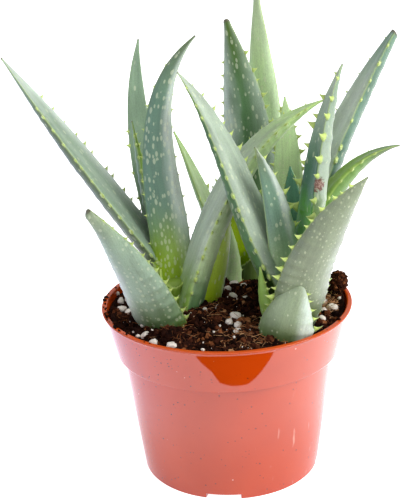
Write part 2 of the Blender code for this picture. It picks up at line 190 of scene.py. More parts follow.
def place_piece(obj: Object, material: Material, slot: str, *nodes: str) -> None:
    """Dresses a finished piece, lets it ride on the model and reports it.

    Args:
        obj: the piece.
        material: its material.
        slot: the record's material slot; not used.
        nodes: CAD nodes that the piece stands for.
    """
    obj.data.materials.append(material)
    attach(obj, "root")
    if nodes:
        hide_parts(*nodes)
    LOG.info("%s: %d faces", obj.name, len(obj.data.polygons))


def unit(vectors: Array) -> Array:
    """Scales vectors to length one."""
    return vectors / np.linalg.norm(vectors, axis=-1, keepdims=True)


def circle(count: int) -> Array:
    """Spaces angles evenly round a circle, in radians."""
    return np.linspace(0, math.tau, count, endpoint=False)


def pack(*parts: Array | float) -> Array:
    """Stacks numbers of matching shapes into vectors along a new last axis."""
    return np.stack(np.broadcast_arrays(*parts), axis=-1)


def polar(radius: Array | float, angle: Array, height: Array | float) -> Array:
    """Turns radii, azimuths and heights into points."""
    return pack(radius * np.cos(angle), radius * np.sin(angle), height)


# --- repeatable noise ---
def lattice(cells: Array, seed: int) -> Array:
    """Gives each whole-number cell its own random number.

    Args:
        cells: whole numbers, shaped (..., 3).
        seed: picks the pattern.

    Returns:
        Numbers from 0 to 1, the same in each run.
    """
    keys = cells.astype(np.int64).astype(np.uint64)
    mixed = (keys[..., 0] * np.uint64(73856093)) ^ (keys[..., 1] * np.uint64(19349663))
    mixed ^= (keys[..., 2] * np.uint64(83492791)) ^ np.uint64(seed * 2654435761 % 2**32)
    mixed ^= mixed >> np.uint64(13)
    mixed = (mixed * np.uint64(0x9E3779B97F4A7C15)) & np.uint64(0xFFFFFFFFFFFFFFFF)
    mixed ^= mixed >> np.uint64(29)
    return (mixed & np.uint64(0xFFFFFF)).astype(float) / float(0xFFFFFF)


def soft_noise(points: Array, cell: float, seed: int) -> Array:
    """Smooth random field: lattice values blended by 3t^2 - 2t^3 along each axis.

    Args:
        points: places in mm, shaped (..., 3).
        cell: size of a lattice cell in mm.
        seed: picks the pattern.

    Returns:
        Numbers from -1 to 1.
    """
    scaled = points / cell
    low = np.floor(scaled)
    part = scaled - low
    blend = part * part * (3 - 2 * part)
    total = np.zeros(points.shape[:-1])
    for corner in np.ndindex(2, 2, 2):
        weight = np.prod(np.where(corner, blend, 1 - blend), axis=-1)
        total += weight * lattice(low + corner, seed)
    return total * 2 - 1


def rough_noise(points: Array, cell: float, octaves: int, seed: int) -> Array:
    """Sum of soft noises, each with half the cell and half the strength of the last.

    Args:
        points: places in mm, shaped (..., 3).
        cell: size of the largest cell in mm.
        octaves: number of layers.
        seed: picks the pattern.

    Returns:
        Numbers around zero, mostly from -1 to 1.
    """
    layers = [soft_noise(points, cell / 2**k, seed + k) / 2**k for k in range(octaves)]
    return np.sum(layers, axis=0)


# --- node trees ---
class Wiring:
    """Puts nodes into one node tree and links them."""

    def __init__(self, tree: NodeTree) -> None:
        """Keeps the tree of a material, a node group or the world."""
        self.tree = tree

    def add(self, kind: str, inputs: dict | None = None, **settings: object) -> Node:
        """Adds a node.

        Args:
            kind: type of the node.
            inputs: for each input name or number, a value or the socket to link to it.
            settings: properties of the node.

        Returns:
            The new node.
        """
        node = self.tree.nodes.new(kind)
        for key, value in settings.items():
            setattr(node, key, value)
        self.dress(node, inputs or {})
        return node

    def feed(self, socket: Socket, value: object) -> None:
        """Links a socket to an output, or sets its plain value.

        Args:
            socket: the input.
            value: an output, a number, or a colour or vector of three numbers.
        """
        if isinstance(value, Socket):
            self.tree.links.new(value, socket)
        elif isinstance(value, tuple) and socket.type == "RGBA":
            socket.default_value = (*value, 1.0)
        else:
            socket.default_value = value

    def math(self, operation: str, first: object, second: object = 0.0,
             third: object = 0.0) -> Socket:
        """Adds a Math node and returns its output."""
        inputs = {0: first, 1: second, 2: third}
        return self.add("ShaderNodeMath", inputs, operation=operation).outputs[0]

    def mix(self, share: object, first: object, second: object) -> Socket:
        """Blends two colours and returns the colour."""
        inputs = {0: share, 6: first, 7: second}
        return self.add("ShaderNodeMix", inputs, data_type="RGBA").outputs[2]

    def fade(self, value: object, start: float, end: float, low: object = 0.0,
             high: object = 1.0) -> Socket:
        """Maps start..end smoothly onto low..high and returns the number."""
        inputs = {0: value, 1: start, 2: end, 3: low, 4: high}
        return self.add("ShaderNodeMapRange", inputs, interpolation_type="SMOOTHSTEP").outputs[0]

    def noise(self, vector: object, scale: float, detail: float = 2.0,
              rough: float = 0.5) -> Socket:
        """Adds a Noise texture and returns its number."""
        inputs = {"Vector": vector, "Scale": scale, "Detail": detail, "Roughness": rough}
        return self.add("ShaderNodeTexNoise", inputs).outputs[0]

    def stretch(self, vector: object, scale: Triple) -> Socket:
        """Scales a vector along each axis and returns it."""
        return self.add("ShaderNodeMapping", {"Vector": vector, "Scale": scale}).outputs[0]

    def place(self) -> Socket:
        """Returns the Object coordinates."""
        return self.add("ShaderNodeTexCoord").outputs["Object"]

    def number(self, name: str, kind: str = "Fac") -> Socket:
        """Reads one of the mesh's point attributes, as a number or with kind "Vector"."""
        return self.add("ShaderNodeAttribute", attribute_name=name).outputs[kind]

    def sway(self, noise: object, amount: float, base: object) -> Socket:
        """Adds (noise - 0.5) * amount to a base and returns the sum."""
        return self.math("MULTIPLY_ADD", self.math("SUBTRACT", noise, 0.5), amount, base)

    def dress(self, node: Node, values: dict) -> None:
        """Feeds values or outputs to a node's sockets, by name or number."""
        for key, value in values.items():
            self.feed(node.inputs[key], value)

    def bump(self, height: object, strength: float, distance: float) -> Socket:
        """Adds a Bump node and returns its normal; distance is in metres."""
        inputs = {"Height": height, "Strength": strength, "Distance": distance}
        return self.add("ShaderNodeBump", inputs).outputs[0]


class NodeGroup:
    """A shader node group that several materials share, built once."""

    def __init__(self, name: str, inputs: dict[str, float | None], outputs: list[str]) -> None:
        """Makes the group's sockets.

        Args:
            name: name of the group.
            inputs: default number of each input, or None for a vector input.
            outputs: names of the outputs, all numbers.
        """
        self.group = bpy.data.node_groups.new(name, "ShaderNodeTree")
        self.wiring = Wiring(self.group)
        for key, value in inputs.items():
            kind = "NodeSocketVector" if value is None else "NodeSocketFloat"
            socket = self.group.interface.new_socket(key, in_out="INPUT", socket_type=kind)
            if value is not None:
                socket.default_value = value
        for key in outputs:
            self.group.interface.new_socket(key, in_out="OUTPUT", socket_type="NodeSocketFloat")
        self.source = self.group.nodes.new("NodeGroupInput")
        self.result = self.group.nodes.new("NodeGroupOutput")

    def into(self, wiring: Wiring, inputs: dict) -> Node:
        """Places the group in a material with the material's own values."""
        return wiring.add("ShaderNodeGroup", inputs, node_tree=self.group)


Groups = dict[str, NodeGroup]


def new_material(name: str) -> tuple[Material, Wiring, Node]:
    """Makes a material with one Principled shader.

    Args:
        name: name of the material.

    Returns:
        The material, the wiring of its tree, and the shader.
    """
    material = bpy.data.materials.new(name)
    material.use_nodes = True
    wiring = Wiring(material.node_tree)
    return material, wiring, material.node_tree.nodes["Principled BSDF"]


def pale_spots() -> NodeGroup:
    """Spots of a leaf: one per Voronoi cell, drawn out lengthwise, some cells left empty.

    Returns:
        The group, with its mask.
    """
    made = NodeGroup("pale_spots", {"Flow": None, "Across": 3.0, "Along": 6.0, "Amount": 0.5,
                                    "Size": 0.3}, ["Mask"])
    w, given = made.wiring, made.source.outputs
    parts = w.add("ShaderNodeSeparateXYZ", {0: given["Flow"]})
    across = w.math("DIVIDE", parts.outputs[0], given["Across"])
    along = w.math("DIVIDE", parts.outputs[1], given["Along"])
    shift = w.math("MULTIPLY", parts.outputs[2], 5.3)
    cell = w.add("ShaderNodeCombineXYZ", {0: w.math("ADD", across, shift), 1: along}).outputs[0]
    dots = w.add("ShaderNodeTexVoronoi", {"Vector": cell, "Scale": 1.0, "Randomness": 0.8},
                 voronoi_dimensions="2D")
    tint = w.add("ShaderNodeSeparateColor", {0: dots.outputs["Color"]})
    band = w.noise(w.stretch(cell, (0.15, 0.5, 1.0)), 1.0, 1.0)
    chance = w.math("MULTIPLY", tint.outputs[0], w.fade(band, 0.3, 0.7, 1.5, 0.6))
    kept = w.fade(w.math("SUBTRACT", chance, given["Amount"]), -0.05, 0.05, 1.0, 0.0)
    reach = w.math("MULTIPLY", given["Size"], w.fade(tint.outputs[1], 0.0, 1.0, 0.6, 1.25))
    inside = w.math("SUBTRACT", reach, dots.outputs["Distance"])
    mask = w.math("MULTIPLY", w.fade(inside, -0.03, 0.09), kept)
    w.feed(made.result.inputs["Mask"], mask)
    return made


def streaks() -> NodeGroup:
    """Lengthwise streaks and soft blotches of a grown surface.

    Returns:
        The group, with a number for each.
    """
    made = NodeGroup("streaks", {"Flow": None}, ["Streak", "Blotch", "Pore"])
    w, given = made.wiring, made.source.outputs
    for name, across, along, detail in (("Streak", 0.9, 0.035, 3.0), ("Blotch", 0.16, 0.05, 2.0),
                                        ("Pore", 2.6, 1.3, 2.0)):
        drawn = w.stretch(given["Flow"], (across, along, 1.0))
        w.feed(made.result.inputs[name], w.noise(drawn, 1.0, detail))
    return made


def specks() -> NodeGroup:
    """Scattered specks of dust: the cores of a few Voronoi cells, more where Thick is high.

    Returns:
        The group, with its mask.
    """
    made = NodeGroup("specks", {"Vector": None, "Scale": 300.0, "Amount": 0.1, "Size": 0.2,
                                "Thick": 1.0}, ["Mask"])
    w, given = made.wiring, made.source.outputs
    dots = w.add("ShaderNodeTexVoronoi", {"Vector": given["Vector"], "Scale": given["Scale"]})
    tint = w.add("ShaderNodeSeparateColor", {0: dots.outputs["Color"]})
    limit = w.math("MULTIPLY", given["Amount"], given["Thick"])
    kept = w.math("LESS_THAN", tint.outputs[0], limit)
    reach = w.math("MULTIPLY", given["Size"], w.fade(tint.outputs[1], 0.0, 1.0, 0.35, 1.0))
    mask = w.fade(w.math("SUBTRACT", reach, dots.outputs["Distance"]), 0.0, 0.06)
    w.feed(made.result.inputs["Mask"], w.math("MULTIPLY", mask, kept))
    return made


# --- leaves ---
class Green(Enum):
    """Pigments of the leaves and their teeth, as linear colours."""

    WAXY = (0.215, 0.305, 0.215)
    SILVER = (0.36, 0.44, 0.35)
    MIST = (0.43, 0.51, 0.41)
    # Also laid towards the leaf margins as painted sheen and light.
    BLOOM_SHEEN = (0.52, 0.60, 0.54)
    SAGE = (0.27, 0.33, 0.22)
    JADE = (0.15, 0.25, 0.18)
    TEAL = (0.115, 0.20, 0.145)
    HUNTER = (0.075, 0.155, 0.06)
    DEEP_TEAL = (0.05, 0.135, 0.075)
    OLIVE = (0.11, 0.15, 0.08)
    MOSS = (0.048, 0.085, 0.004)
    LEAF = (0.13, 0.24, 0.06)
    FERN = (0.27, 0.42, 0.11)
    FRESH = (0.25, 0.38, 0.15)
    SPROUT = (0.38, 0.54, 0.24)
    PALE = (0.40, 0.50, 0.30)
    LIME = (0.27, 0.40, 0.03)
    MARGIN = (0.50, 0.64, 0.17)
    CREAM = (0.66, 0.72, 0.50)
    PEARL = (0.58, 0.76, 0.42)
    VIRIDIAN = (0.17, 0.37, 0.25)
    DEW = (0.26, 0.35, 0.26)
    ACID = (0.38, 0.54, 0.05)
    GLAZE = (0.46, 0.60, 0.34)
    LICHEN = (0.20, 0.24, 0.16)
    EMERALD = (0.09, 0.31, 0.025)
    BOTTLE = (0.055, 0.11, 0.008)
    RUST = (0.09, 0.085, 0.045)
    SCAB = (0.13, 0.03, 0.018)
    CALLUS = (0.34, 0.21, 0.17)


Tones = tuple[Green, Green, Green]


@dataclass(frozen=True)
class LeafFinish:
    """Waxy flesh of one leaf.

    Attributes:
        inner: colours of the inner face at the root, the middle and the tip.
        outer: the same for the outer face.
        root_reach: share of the length at which the root colour has faded.
        root_start: share of the length at which it begins to fade.
        tip_start: share of the length at which the tip colour begins.
        spots: share of the spot cells that hold a pale spot.
        spot_cell: spacing of the spots across and along the leaf, mm.
        spot_size: radius of a spot as a share of its cell.
        spot_strength: how much paler a spot is.
        painted_sheen: strength of the pale band towards the far and the near margin, partly a pale
            waxy coat and partly painted sheen and light on the lit side.
        margin: strength of the bright line along the margins.
        tip_wither: share of the length at the tip that has dried to brown.
        scar: share of the length at which the far margin has a healed scar, or 0.
        saturation: strength of all its colours.
        roughness: roughness of the smoothest parts of the waxy skin.
        gloss: specular level.
        sheen: weight of the pale sheen at grazing angles.
        relief: height of the streaks and pores, metres.
        glow_through: weight of the light that passes through the flesh.
    """

    inner: Tones = (Green.LIME, Green.WAXY, Green.WAXY)
    outer: Tones = (Green.MOSS, Green.WAXY, Green.WAXY)
    root_reach: float = 0.25
    root_start: float = 0.02
    tip_start: float = 0.7
    spots: float = 0.3
    spot_cell: Pair = (1.9, 4.2)
    spot_size: float = 0.30
    spot_strength: float = 0.4
    painted_sheen: Pair = (0.0, 0.0)
    margin: float = 0.3
    tip_wither: float = 0.004
    scar: float = 0.0
    saturation: float = 1.12
    roughness: float = 0.34
    gloss: float = 0.4
    sheen: float = 0.17
    relief: float = 0.00025
    glow_through: float = 0.12

    def face(self, w: Wiring, share: Socket, colours: Tones) -> Socket:
        """Blends the root, middle and tip colours of one face along the leaf.

        Args:
            w: wiring of the material.
            share: share of the length, with an uneven edge.
            colours: the three pigments.

        Returns:
            The colour of the face.
        """
        root, middle, tip = (green.value for green in colours)
        lower = w.mix(w.fade(share, self.root_start, self.root_reach), root, middle)
        return w.mix(w.fade(share, self.tip_start, 1.0), lower, tip)

    def lay_painted_sheen(self, w: Wiring, body: Socket, share: Socket, blotch: Socket) -> Socket:
        """Lays a pale band towards the margins, partly a pale waxy coat and partly painted sheen and
        light on the lit side: thin at the root and the tip, full between.

        Args:
            w: wiring of the material.
            body: colour under the pale band.
            share: share of the length.
            blotch: noise that makes the band's edge uneven.

        Returns:
            The colour with its pale band.
        """
        lean = w.sway(blotch, 0.7, w.number("side"))
        for strength, margin in zip(self.painted_sheen, (-0.95, 0.95)):
            if strength > 0:
                root_fade = w.fade(share, 0.1, 0.35, 0.3 * strength, strength)
                # Painted sheen and light: a pale colour laid towards this margin on the lit side of
                # the leaf.
                sheen_mask = w.math("MULTIPLY", w.fade(lean, 0.05 * margin, margin), root_fade)
                sheen_mask = w.math("MULTIPLY", sheen_mask, w.fade(share, 0.7, 0.95, 1.0, 0.45))
                body = w.mix(sheen_mask, body, Green.BLOOM_SHEEN.value)
        return body

    def healed(self, w: Wiring, flesh: Socket, share: Socket,
               half_size: Pair = (0.026, 0.17)) -> Socket:
        """Marks the scar: a crumbly diamond, |along| + |across| < 1, with a ragged edge.

        Args:
            w: wiring of the material.
            flesh: colour around the scar.
            share: share of the length.
            half_size: its half size along and across, as shares of the leaf's.

        Returns:
            The colour with the scar.
        """
        along = w.math("DIVIDE", w.math("SUBTRACT", share, self.scar), half_size[0])
        across = w.math("DIVIDE", w.math("ADD", w.number("side"), 0.98), half_size[1])
        away = w.math("ADD", w.math("ABSOLUTE", along), w.math("ABSOLUTE", across))
        crumbly = w.noise(w.place(), 1100.0, 2.0)
        scab = w.mix(w.fade(crumbly, 0.42, 0.6), Green.SCAB.value, Green.CALLUS.value)
        return w.mix(w.fade(w.sway(crumbly, 2.2, away), 1.3, 0.75, 0.0, 0.92), flesh, scab)

    def material(self, name: str, groups: Groups) -> Material:
        """Lays the face colours, the pale band of painted sheen, spots, bright margins, thorns, scar
        and dry tip.

        Args:
            name: name of the material.
            groups: shared node groups by name.

        Returns:
            The material.
        """
        material, w, shader = new_material(name)
        flow = w.number("flow", "Vector")
        place = w.add("ShaderNodeSeparateXYZ", {0: w.number("place", "Vector")})
        share, to_edge, inside = place.outputs
        streak, blotch, pore = groups["streaks"].into(w, {"Flow": flow}).outputs
        uneven = w.sway(blotch, 0.16, share)
        body = w.mix(w.fade(inside, 0.2, 0.8), self.face(w, uneven, self.outer),
                     self.face(w, uneven, self.inner))
        value = w.math("MULTIPLY_ADD", streak, 0.4, w.math("MULTIPLY_ADD", blotch, 0.7, 0.2))
        shade = w.add("ShaderNodeHueSaturation", {
            "Value": w.math("MULTIPLY_ADD", pore, 0.5, value), "Saturation": self.saturation,
            "Color": self.lay_painted_sheen(w, body, share, blotch)}).outputs[0]
        wide, tall = self.spot_cell
        spots = groups["pale_spots"].into(w, {
            "Flow": flow, "Across": wide, "Along": tall, "Amount": self.spots,
            "Size": self.spot_size}).outputs["Mask"]
        clear = w.math("MULTIPLY", spots, w.fade(to_edge, 0.4, 1.6))
        line = w.fade(w.sway(streak, 0.8, to_edge), 0.05, 0.75, self.margin, 0.0)
        thorn = w.number("thorn")
        flesh = shade
        for mask, pigment in (
                (w.math("MULTIPLY", clear, self.spot_strength), Green.CREAM),
                (line, Green.MARGIN),
                (w.fade(w.number("glow"), 0.2, 1.0, 0.0, 0.7), Green.MARGIN),
                (w.fade(thorn, 0.1, 0.35), Green.MARGIN),
                (w.fade(thorn, 0.75, 1.0, 0.0, 0.6), Green.CREAM)):
            flesh = w.mix(mask, flesh, pigment.value)
        if self.scar > 0:
            flesh = self.healed(w, flesh, share)
        dry = w.fade(w.sway(pore, 0.02, share), 1 - self.tip_wither * 1.6,
                     1 - self.tip_wither * 0.4)
        ridges = w.math("MULTIPLY_ADD", streak, 0.6, w.math("MULTIPLY_ADD", spots, 0.25, pore))
        w.dress(shader, {
            "Base Color": w.mix(dry, flesh, Green.RUST.value),
            "Roughness": w.math("MULTIPLY_ADD", pore, 0.2, self.roughness),
            "Normal": w.bump(ridges, 0.35, self.relief),
            "Specular IOR Level": self.gloss, "Sheen Weight": self.sheen,
            "Sheen Roughness": 0.45, "Sheen Tint": (0.86, 0.90, 1.0),
            "Subsurface Weight": self.glow_through, "Subsurface Radius": (0.6, 1.0, 0.2),
            "Subsurface Scale": 0.0015})
        return material


@dataclass(frozen=True)
class Teeth:
    """Thorns of a leaf's two margins.

    Attributes:
        near: height in mm on the margin that lies on the across side.
        far: height on the other margin.
        pitch: spacing in mm.
        reach: shares of the length between which they stand.
        lean: how far a thorn's point leads towards the tip, as a share of its height.
        inward: how far a thorn turns from the margin towards the inner face.
    """

    near: float = 1.5
    far: float = 1.5
    pitch: float = 6.5
    reach: Pair = (0.12, 0.92)
    lean: float = 0.35
    inward: float = 0.18


@dataclass(frozen=True)
class LeafPlan:
    """One leaf: given points of its centreline in mm, then its section.

    Attributes:
        node: the CAD node that the leaf stands for.
        points: centreline from the root to the tip.
        width: full width at the root.
        thickness: thickness at the root.
        taper: how late the leaf narrows; 1 is a plain wedge.
        facing: azimuth that the outer face looks towards, at the root and at the tip.
        channel: depth of the inner hollow over the width, at the root and at the tip.
        neck: narrowing at the root.
        nub: radius of the rounded tip.
        finish: its colours.
        teeth: its thorns.
    """

    node: str
    points: tuple
    width: float
    thickness: float
    taper: float
    facing: Pair
    channel: Pair = (0.03, 0.12)
    neck: float = 0.0
    nub: float = 0.5
    finish: LeafFinish = LeafFinish()
    teeth: Teeth = Teeth()


@dataclass
class LeafForm:
    """The shape of one leaf, worked out from its plan.

    Attributes:
        plan: the leaf's sizes.
        seed: picks its irregularities.
        stations: rings along the leaf.
        around: points in a ring.
        thorn_scale: height of a thorn over the plan's height.
        thorn_foot: half length of a thorn's foot over its height.
        swell: how far the margin swells under a thorn, as a share of its height.
        wobble: slow change of the half width, as a share, and its cell in mm.
        relief: slow relief of the faces and its largest cell, mm.
        roll: how far the margins turn down, as a share of the thickness.
    """

    plan: LeafPlan
    seed: int
    stations: int = 130
    around: int = 48
    thorn_scale: float = 1.9
    thorn_foot: float = 0.55
    swell: float = 0.22
    wobble: Pair = (0.03, 14.0)
    relief: Pair = (0.16, 9.0)
    roll: float = 0.25

    def __post_init__(self) -> None:
        """Works out the centreline, its length and the places of the thorns."""
        self.line = self.through_points(np.asarray(self.plan.points, dtype=float))
        steps = np.linalg.norm(np.diff(self.line, axis=0), axis=1)
        self.length = float(steps.sum())
        rng = np.random.default_rng(self.seed)
        first, last = self.plan.teeth.reach
        count = max(2, int((last - first) * self.length / self.plan.teeth.pitch))
        even = np.linspace(first, last, count)
        loose = 0.3 * self.plan.teeth.pitch / self.length
        self.thorn_share = {side: np.clip(even + rng.uniform(-loose, loose, count), 0.01, 0.985)
                            for side in (1, -1)}
        self.thorn_height = {}
        for side, height in ((1, self.plan.teeth.near), (-1, self.plan.teeth.far)):
            share = self.thorn_share[side]
            self.thorn_height[side] = self.thorn_scale * height * rng.uniform(0.65, 1.15, count) * (
                1 - 0.5 * share**2)

    @staticmethod
    def through_points(points: Array, count: int = 500) -> Array:
        """Runs one smooth polynomial curve through the given points.

        Lagrange's formula on knots spaced as the chords are, sampled evenly by length.

        Args:
            points: given points, mm.
            count: points to return.

        Returns:
            Points of the curve.
        """
        chords = np.linalg.norm(np.diff(points, axis=0), axis=1)
        knots = np.concatenate(([0.0], np.cumsum(chords)))
        knots /= knots[-1]
        fine = np.linspace(0.0, 1.0, 400)
        curve = np.zeros((fine.size, 3))
        for i, point in enumerate(points):
            others = np.delete(knots, i)
            curve += np.prod((fine[:, None] - others) / (knots[i] - others), axis=1)[:, None] * point
        steps = np.linalg.norm(np.diff(curve, axis=0), axis=1)
        length = np.concatenate(([0.0], np.cumsum(steps)))
        even = np.linspace(0.0, length[-1], count)
        return np.stack([np.interp(even, length, curve[:, k]) for k in range(3)], axis=1)

    def axes(self, share: Array) -> tuple[Array, Array, Array, Array]:
        """Centre, along, across and inner-face directions at shares of the length.

        Args:
            share: shares of the length.

        Returns:
            Centres, then unit vectors along, across and out of the inner face.
        """
        spot = share * (len(self.line) - 1)
        index = np.arange(len(self.line))
        slope = unit(np.gradient(self.line, axis=0))
        centre = np.stack([np.interp(spot, index, self.line[:, k]) for k in range(3)], axis=-1)
        along = unit(np.stack([np.interp(spot, index, slope[:, k]) for k in range(3)], axis=-1))
        first, last = self.plan.facing
        azimuth = np.radians(first + (last - first) * share)
        flat = pack(-np.sin(azimuth), np.cos(azimuth), 0.0)
        face = unit(np.cross(along, flat))
        return centre, along, np.cross(face, along), face

    def nub_radius(self, share: Array) -> Array:
        """Radius of the rounded end: constant, then a quarter circle at the tip."""
        start = 1 - self.plan.nub / self.length
        return self.plan.nub * np.sqrt(1 - np.clip((share - start) / (1 - start), 0, 1) ** 2)

    def half_width(self, share: Array, side: int) -> Array:
        """Half width: the taper, the neck, a slow wobble and a swelling under each thorn.

        Args:
            share: shares of the length.
            side: 1 for the near margin, -1 for the far one.

        Returns:
            Half widths, mm.
        """
        plan = self.plan
        neck = 1 - plan.neck * np.clip(1 - share / 0.3, 0, 1) ** 2
        core = 0.5 * plan.width * np.clip(1 - share**plan.taper, 0, 1) * neck
        track = pack(share * self.length, 9.0 * side, 0.0)
        amount, cell = self.wobble
        core = core * (1 + amount * soft_noise(track, cell, self.seed))
        gap = (share[:, None] - self.thorn_share[side]) * self.length / 1.3
        swelling = (np.exp(-gap**2) * self.thorn_height[side]).sum(axis=1) * self.swell
        swelling *= np.clip(core / 2.0, 0, 1)
        return np.hypot(core + swelling, self.nub_radius(share))

    def near_thorn(self, share: Array, side: int) -> Array:
        """Nearness to a thorn along one margin: a bell curve about each, in one column."""
        gap = (share[:, None] - self.thorn_share[side]) * self.length / 1.5
        return (np.exp(-gap**2) * np.clip(self.thorn_height[side] / 1.2, 0, 1)).max(axis=1)[:, None]

    def depth(self, share: Array) -> Array:
        """Thickness: it tapers a little faster than the width and ends in the nub."""
        core = self.plan.thickness * np.clip(1 - share ** (self.plan.taper * 1.15), 0, 1)
        return np.hypot(core, 1.6 * self.nub_radius(share))

    def rings(self) -> tuple[Array, dict[str, Array], Array]:
        """Rings of the blade, their values, and its two end points.

        Returns:
            Points of the rings, their attributes, and the two poles.
        """
        plan = self.plan
        share = 1 - (1 - np.linspace(0.0, 1.0, self.stations)) ** 1.3
        share[-1] = 1 - 0.04 * plan.nub / self.length
        centre, along, across, face = self.axes(share)
        turn = circle(self.around)[None, :]
        side, up = np.cos(turn), np.sin(turn)
        half = np.where(side >= 0, self.half_width(share, 1)[:, None],
                        self.half_width(share, -1)[:, None])
        depth = self.depth(share)[:, None]
        first, last = plan.channel
        hollow = (first + (last - first) * share)[:, None] * 2 * half
        rolled = -self.roll * depth * np.abs(side) ** 6
        inner = -hollow * (1 - side**2)
        outer = -(depth + hollow) * np.sqrt(np.clip(1 - np.abs(side) ** 2.2, 0, 1))
        lift = rolled + np.where(up >= 0, inner, outer)
        reach = side * half
        spots = pack(share[:, None] * self.length, reach, np.sign(up) * 5.0)
        amount, cell = self.relief
        uneven = amount * rough_noise(spots, cell, 3, self.seed + 40)
        lift = lift + uneven * np.clip(depth / 3, 0, 1)
        points = (centre[:, None] + reach[..., None] * across[:, None]
                  + lift[..., None] * face[:, None])

        step = np.hypot(np.diff(reach, axis=1, append=reach[:, :1]),
                        np.diff(lift, axis=1, append=lift[:, :1]))
        arc = np.cumsum(step, axis=1) - step
        quarter, half_way, low = self.around // 4, self.around // 2, 3 * self.around // 4
        within = np.arange(self.around)[None, :] <= half_way
        sideways = np.where(within, arc[:, quarter : quarter + 1] - arc,
                            arc - arc[:, low : low + 1])
        to_edge = np.where(
            within,
            np.minimum(arc, arc[:, half_way : half_way + 1] - arc),
            np.minimum(arc - arc[:, half_way : half_way + 1],
                       step.sum(axis=1, keepdims=True) - arc))
        ways = share[:, None] * self.length
        glow = np.where(side >= 0, self.near_thorn(share, 1), self.near_thorn(share, -1))
        values = {
            "flow": pack(sideways, ways, 3.7 * self.seed),
            "place": pack(ways / self.length, to_edge, np.clip(up * 3 + 0.5, 0, 1)),
            "thorn": np.zeros((1, 1)),
            "glow": glow * np.exp(-((to_edge / 0.9) ** 2)),
            "side": side,
        }
        ends = np.stack([centre[0] - 0.3 * face[0] * depth[0], self.line[-1]])
        return points, values, ends

    def blade(self) -> Shell:
        """The blade as one closed shell."""
        points, values, ends = self.rings()
        return close_rings(points[None], ends[None], {k: v[None] for k, v in values.items()})

    def thorns(self, side: int) -> Shell:
        """Thorns of one margin: horns with a long flared foot sunk into the margin.

        A ring at height u has the half length foot * (1 - u)^1.3 along the margin and
        the half thickness 0.5 * foot * (1 - u)^1.1, and the middle of the rings bends
        towards the tip with u squared.

        Args:
            side: 1 for the near margin, -1 for the far one.

        Returns:
            One shell.
        """
        share, tall = self.thorn_share[side], self.thorn_height[side]
        centre, along, across, face = self.axes(share)
        half = self.half_width(share, side)
        depth = self.depth(share)
        seat = centre + (side * half)[:, None] * across - (0.25 * depth)[:, None] * face
        outward = unit(side * across + self.plan.teeth.inward * face)
        sideways = np.cross(outward, along)
        size = tall * np.clip(half / 2.5, 0.35, 1)
        sink = np.minimum(0.7, 0.5 * half)
        u = np.array([0.0, 0.3, 0.55, 0.8, 1.0])[None, :, None]
        turn = circle(7)[None, None, :]
        foot = self.thorn_foot * size[:, None, None]
        long_axis = (foot * (1 - u) ** 1.3 + 0.06) * np.cos(turn)
        thin_axis = (0.5 * foot * (1 - u) ** 1.1 + 0.06) * np.sin(turn)
        climb = (size + sink)[:, None, None] * u - sink[:, None, None]
        lead = (0.25 + self.plan.teeth.lean) * size[:, None, None] * u**2
        rings = (seat[:, None, None] + climb[..., None] * outward[:, None, None]
                 + (long_axis + lead)[..., None] * along[:, None, None]
                 + thin_axis[..., None] * sideways[:, None, None])
        poles = np.stack([rings[:, 0].mean(axis=1),
                          rings[:, -1].mean(axis=1) + 0.06 * outward], axis=1)
        ways = (share * self.length)[:, None, None]
        values = {
            "flow": pack(0.1, ways, 3.7 * self.seed),
            "place": pack(ways / self.length, 0.0, 1.0),
            "thorn": u * 0.8 + 0.2,
            "glow": np.ones((1, 1, 1)),
            "side": np.full((1, 1, 1), float(side)),
        }
        return close_rings(rings, poles, values)

    def shell(self) -> Shell:
        """The blade and its thorns."""
        thorns = [self.thorns(side) for side in (1, -1) if self.thorn_height[side].max() > 0.05]
        return join([part.outward() for part in (self.blade(), *thorns)])


@dataclass
class Rosette:
    """Leaves that grow from one short stem.

    Attributes:
        name: what the rosette is called in the log.
        leaves: the plans of its leaves.
        groups: shared node groups by name.
        seed: picks the irregularities of its first leaf.
    """

    name: str
    leaves: tuple[LeafPlan, ...]
    groups: Groups
    seed: int

    def build(self) -> None:
        """Makes each leaf in place of its CAD node."""
        for number, plan in enumerate(self.leaves):
            form = LeafForm(plan, self.seed + number)
            obj = make_object(plan.node + "_skin", form.shell())
            material = plan.finish.material(plan.node + "_flesh", self.groups)
            place_piece(obj, material, "leaf", plan.node)
        LOG.info("%s: %d leaves", self.name, len(self.leaves))


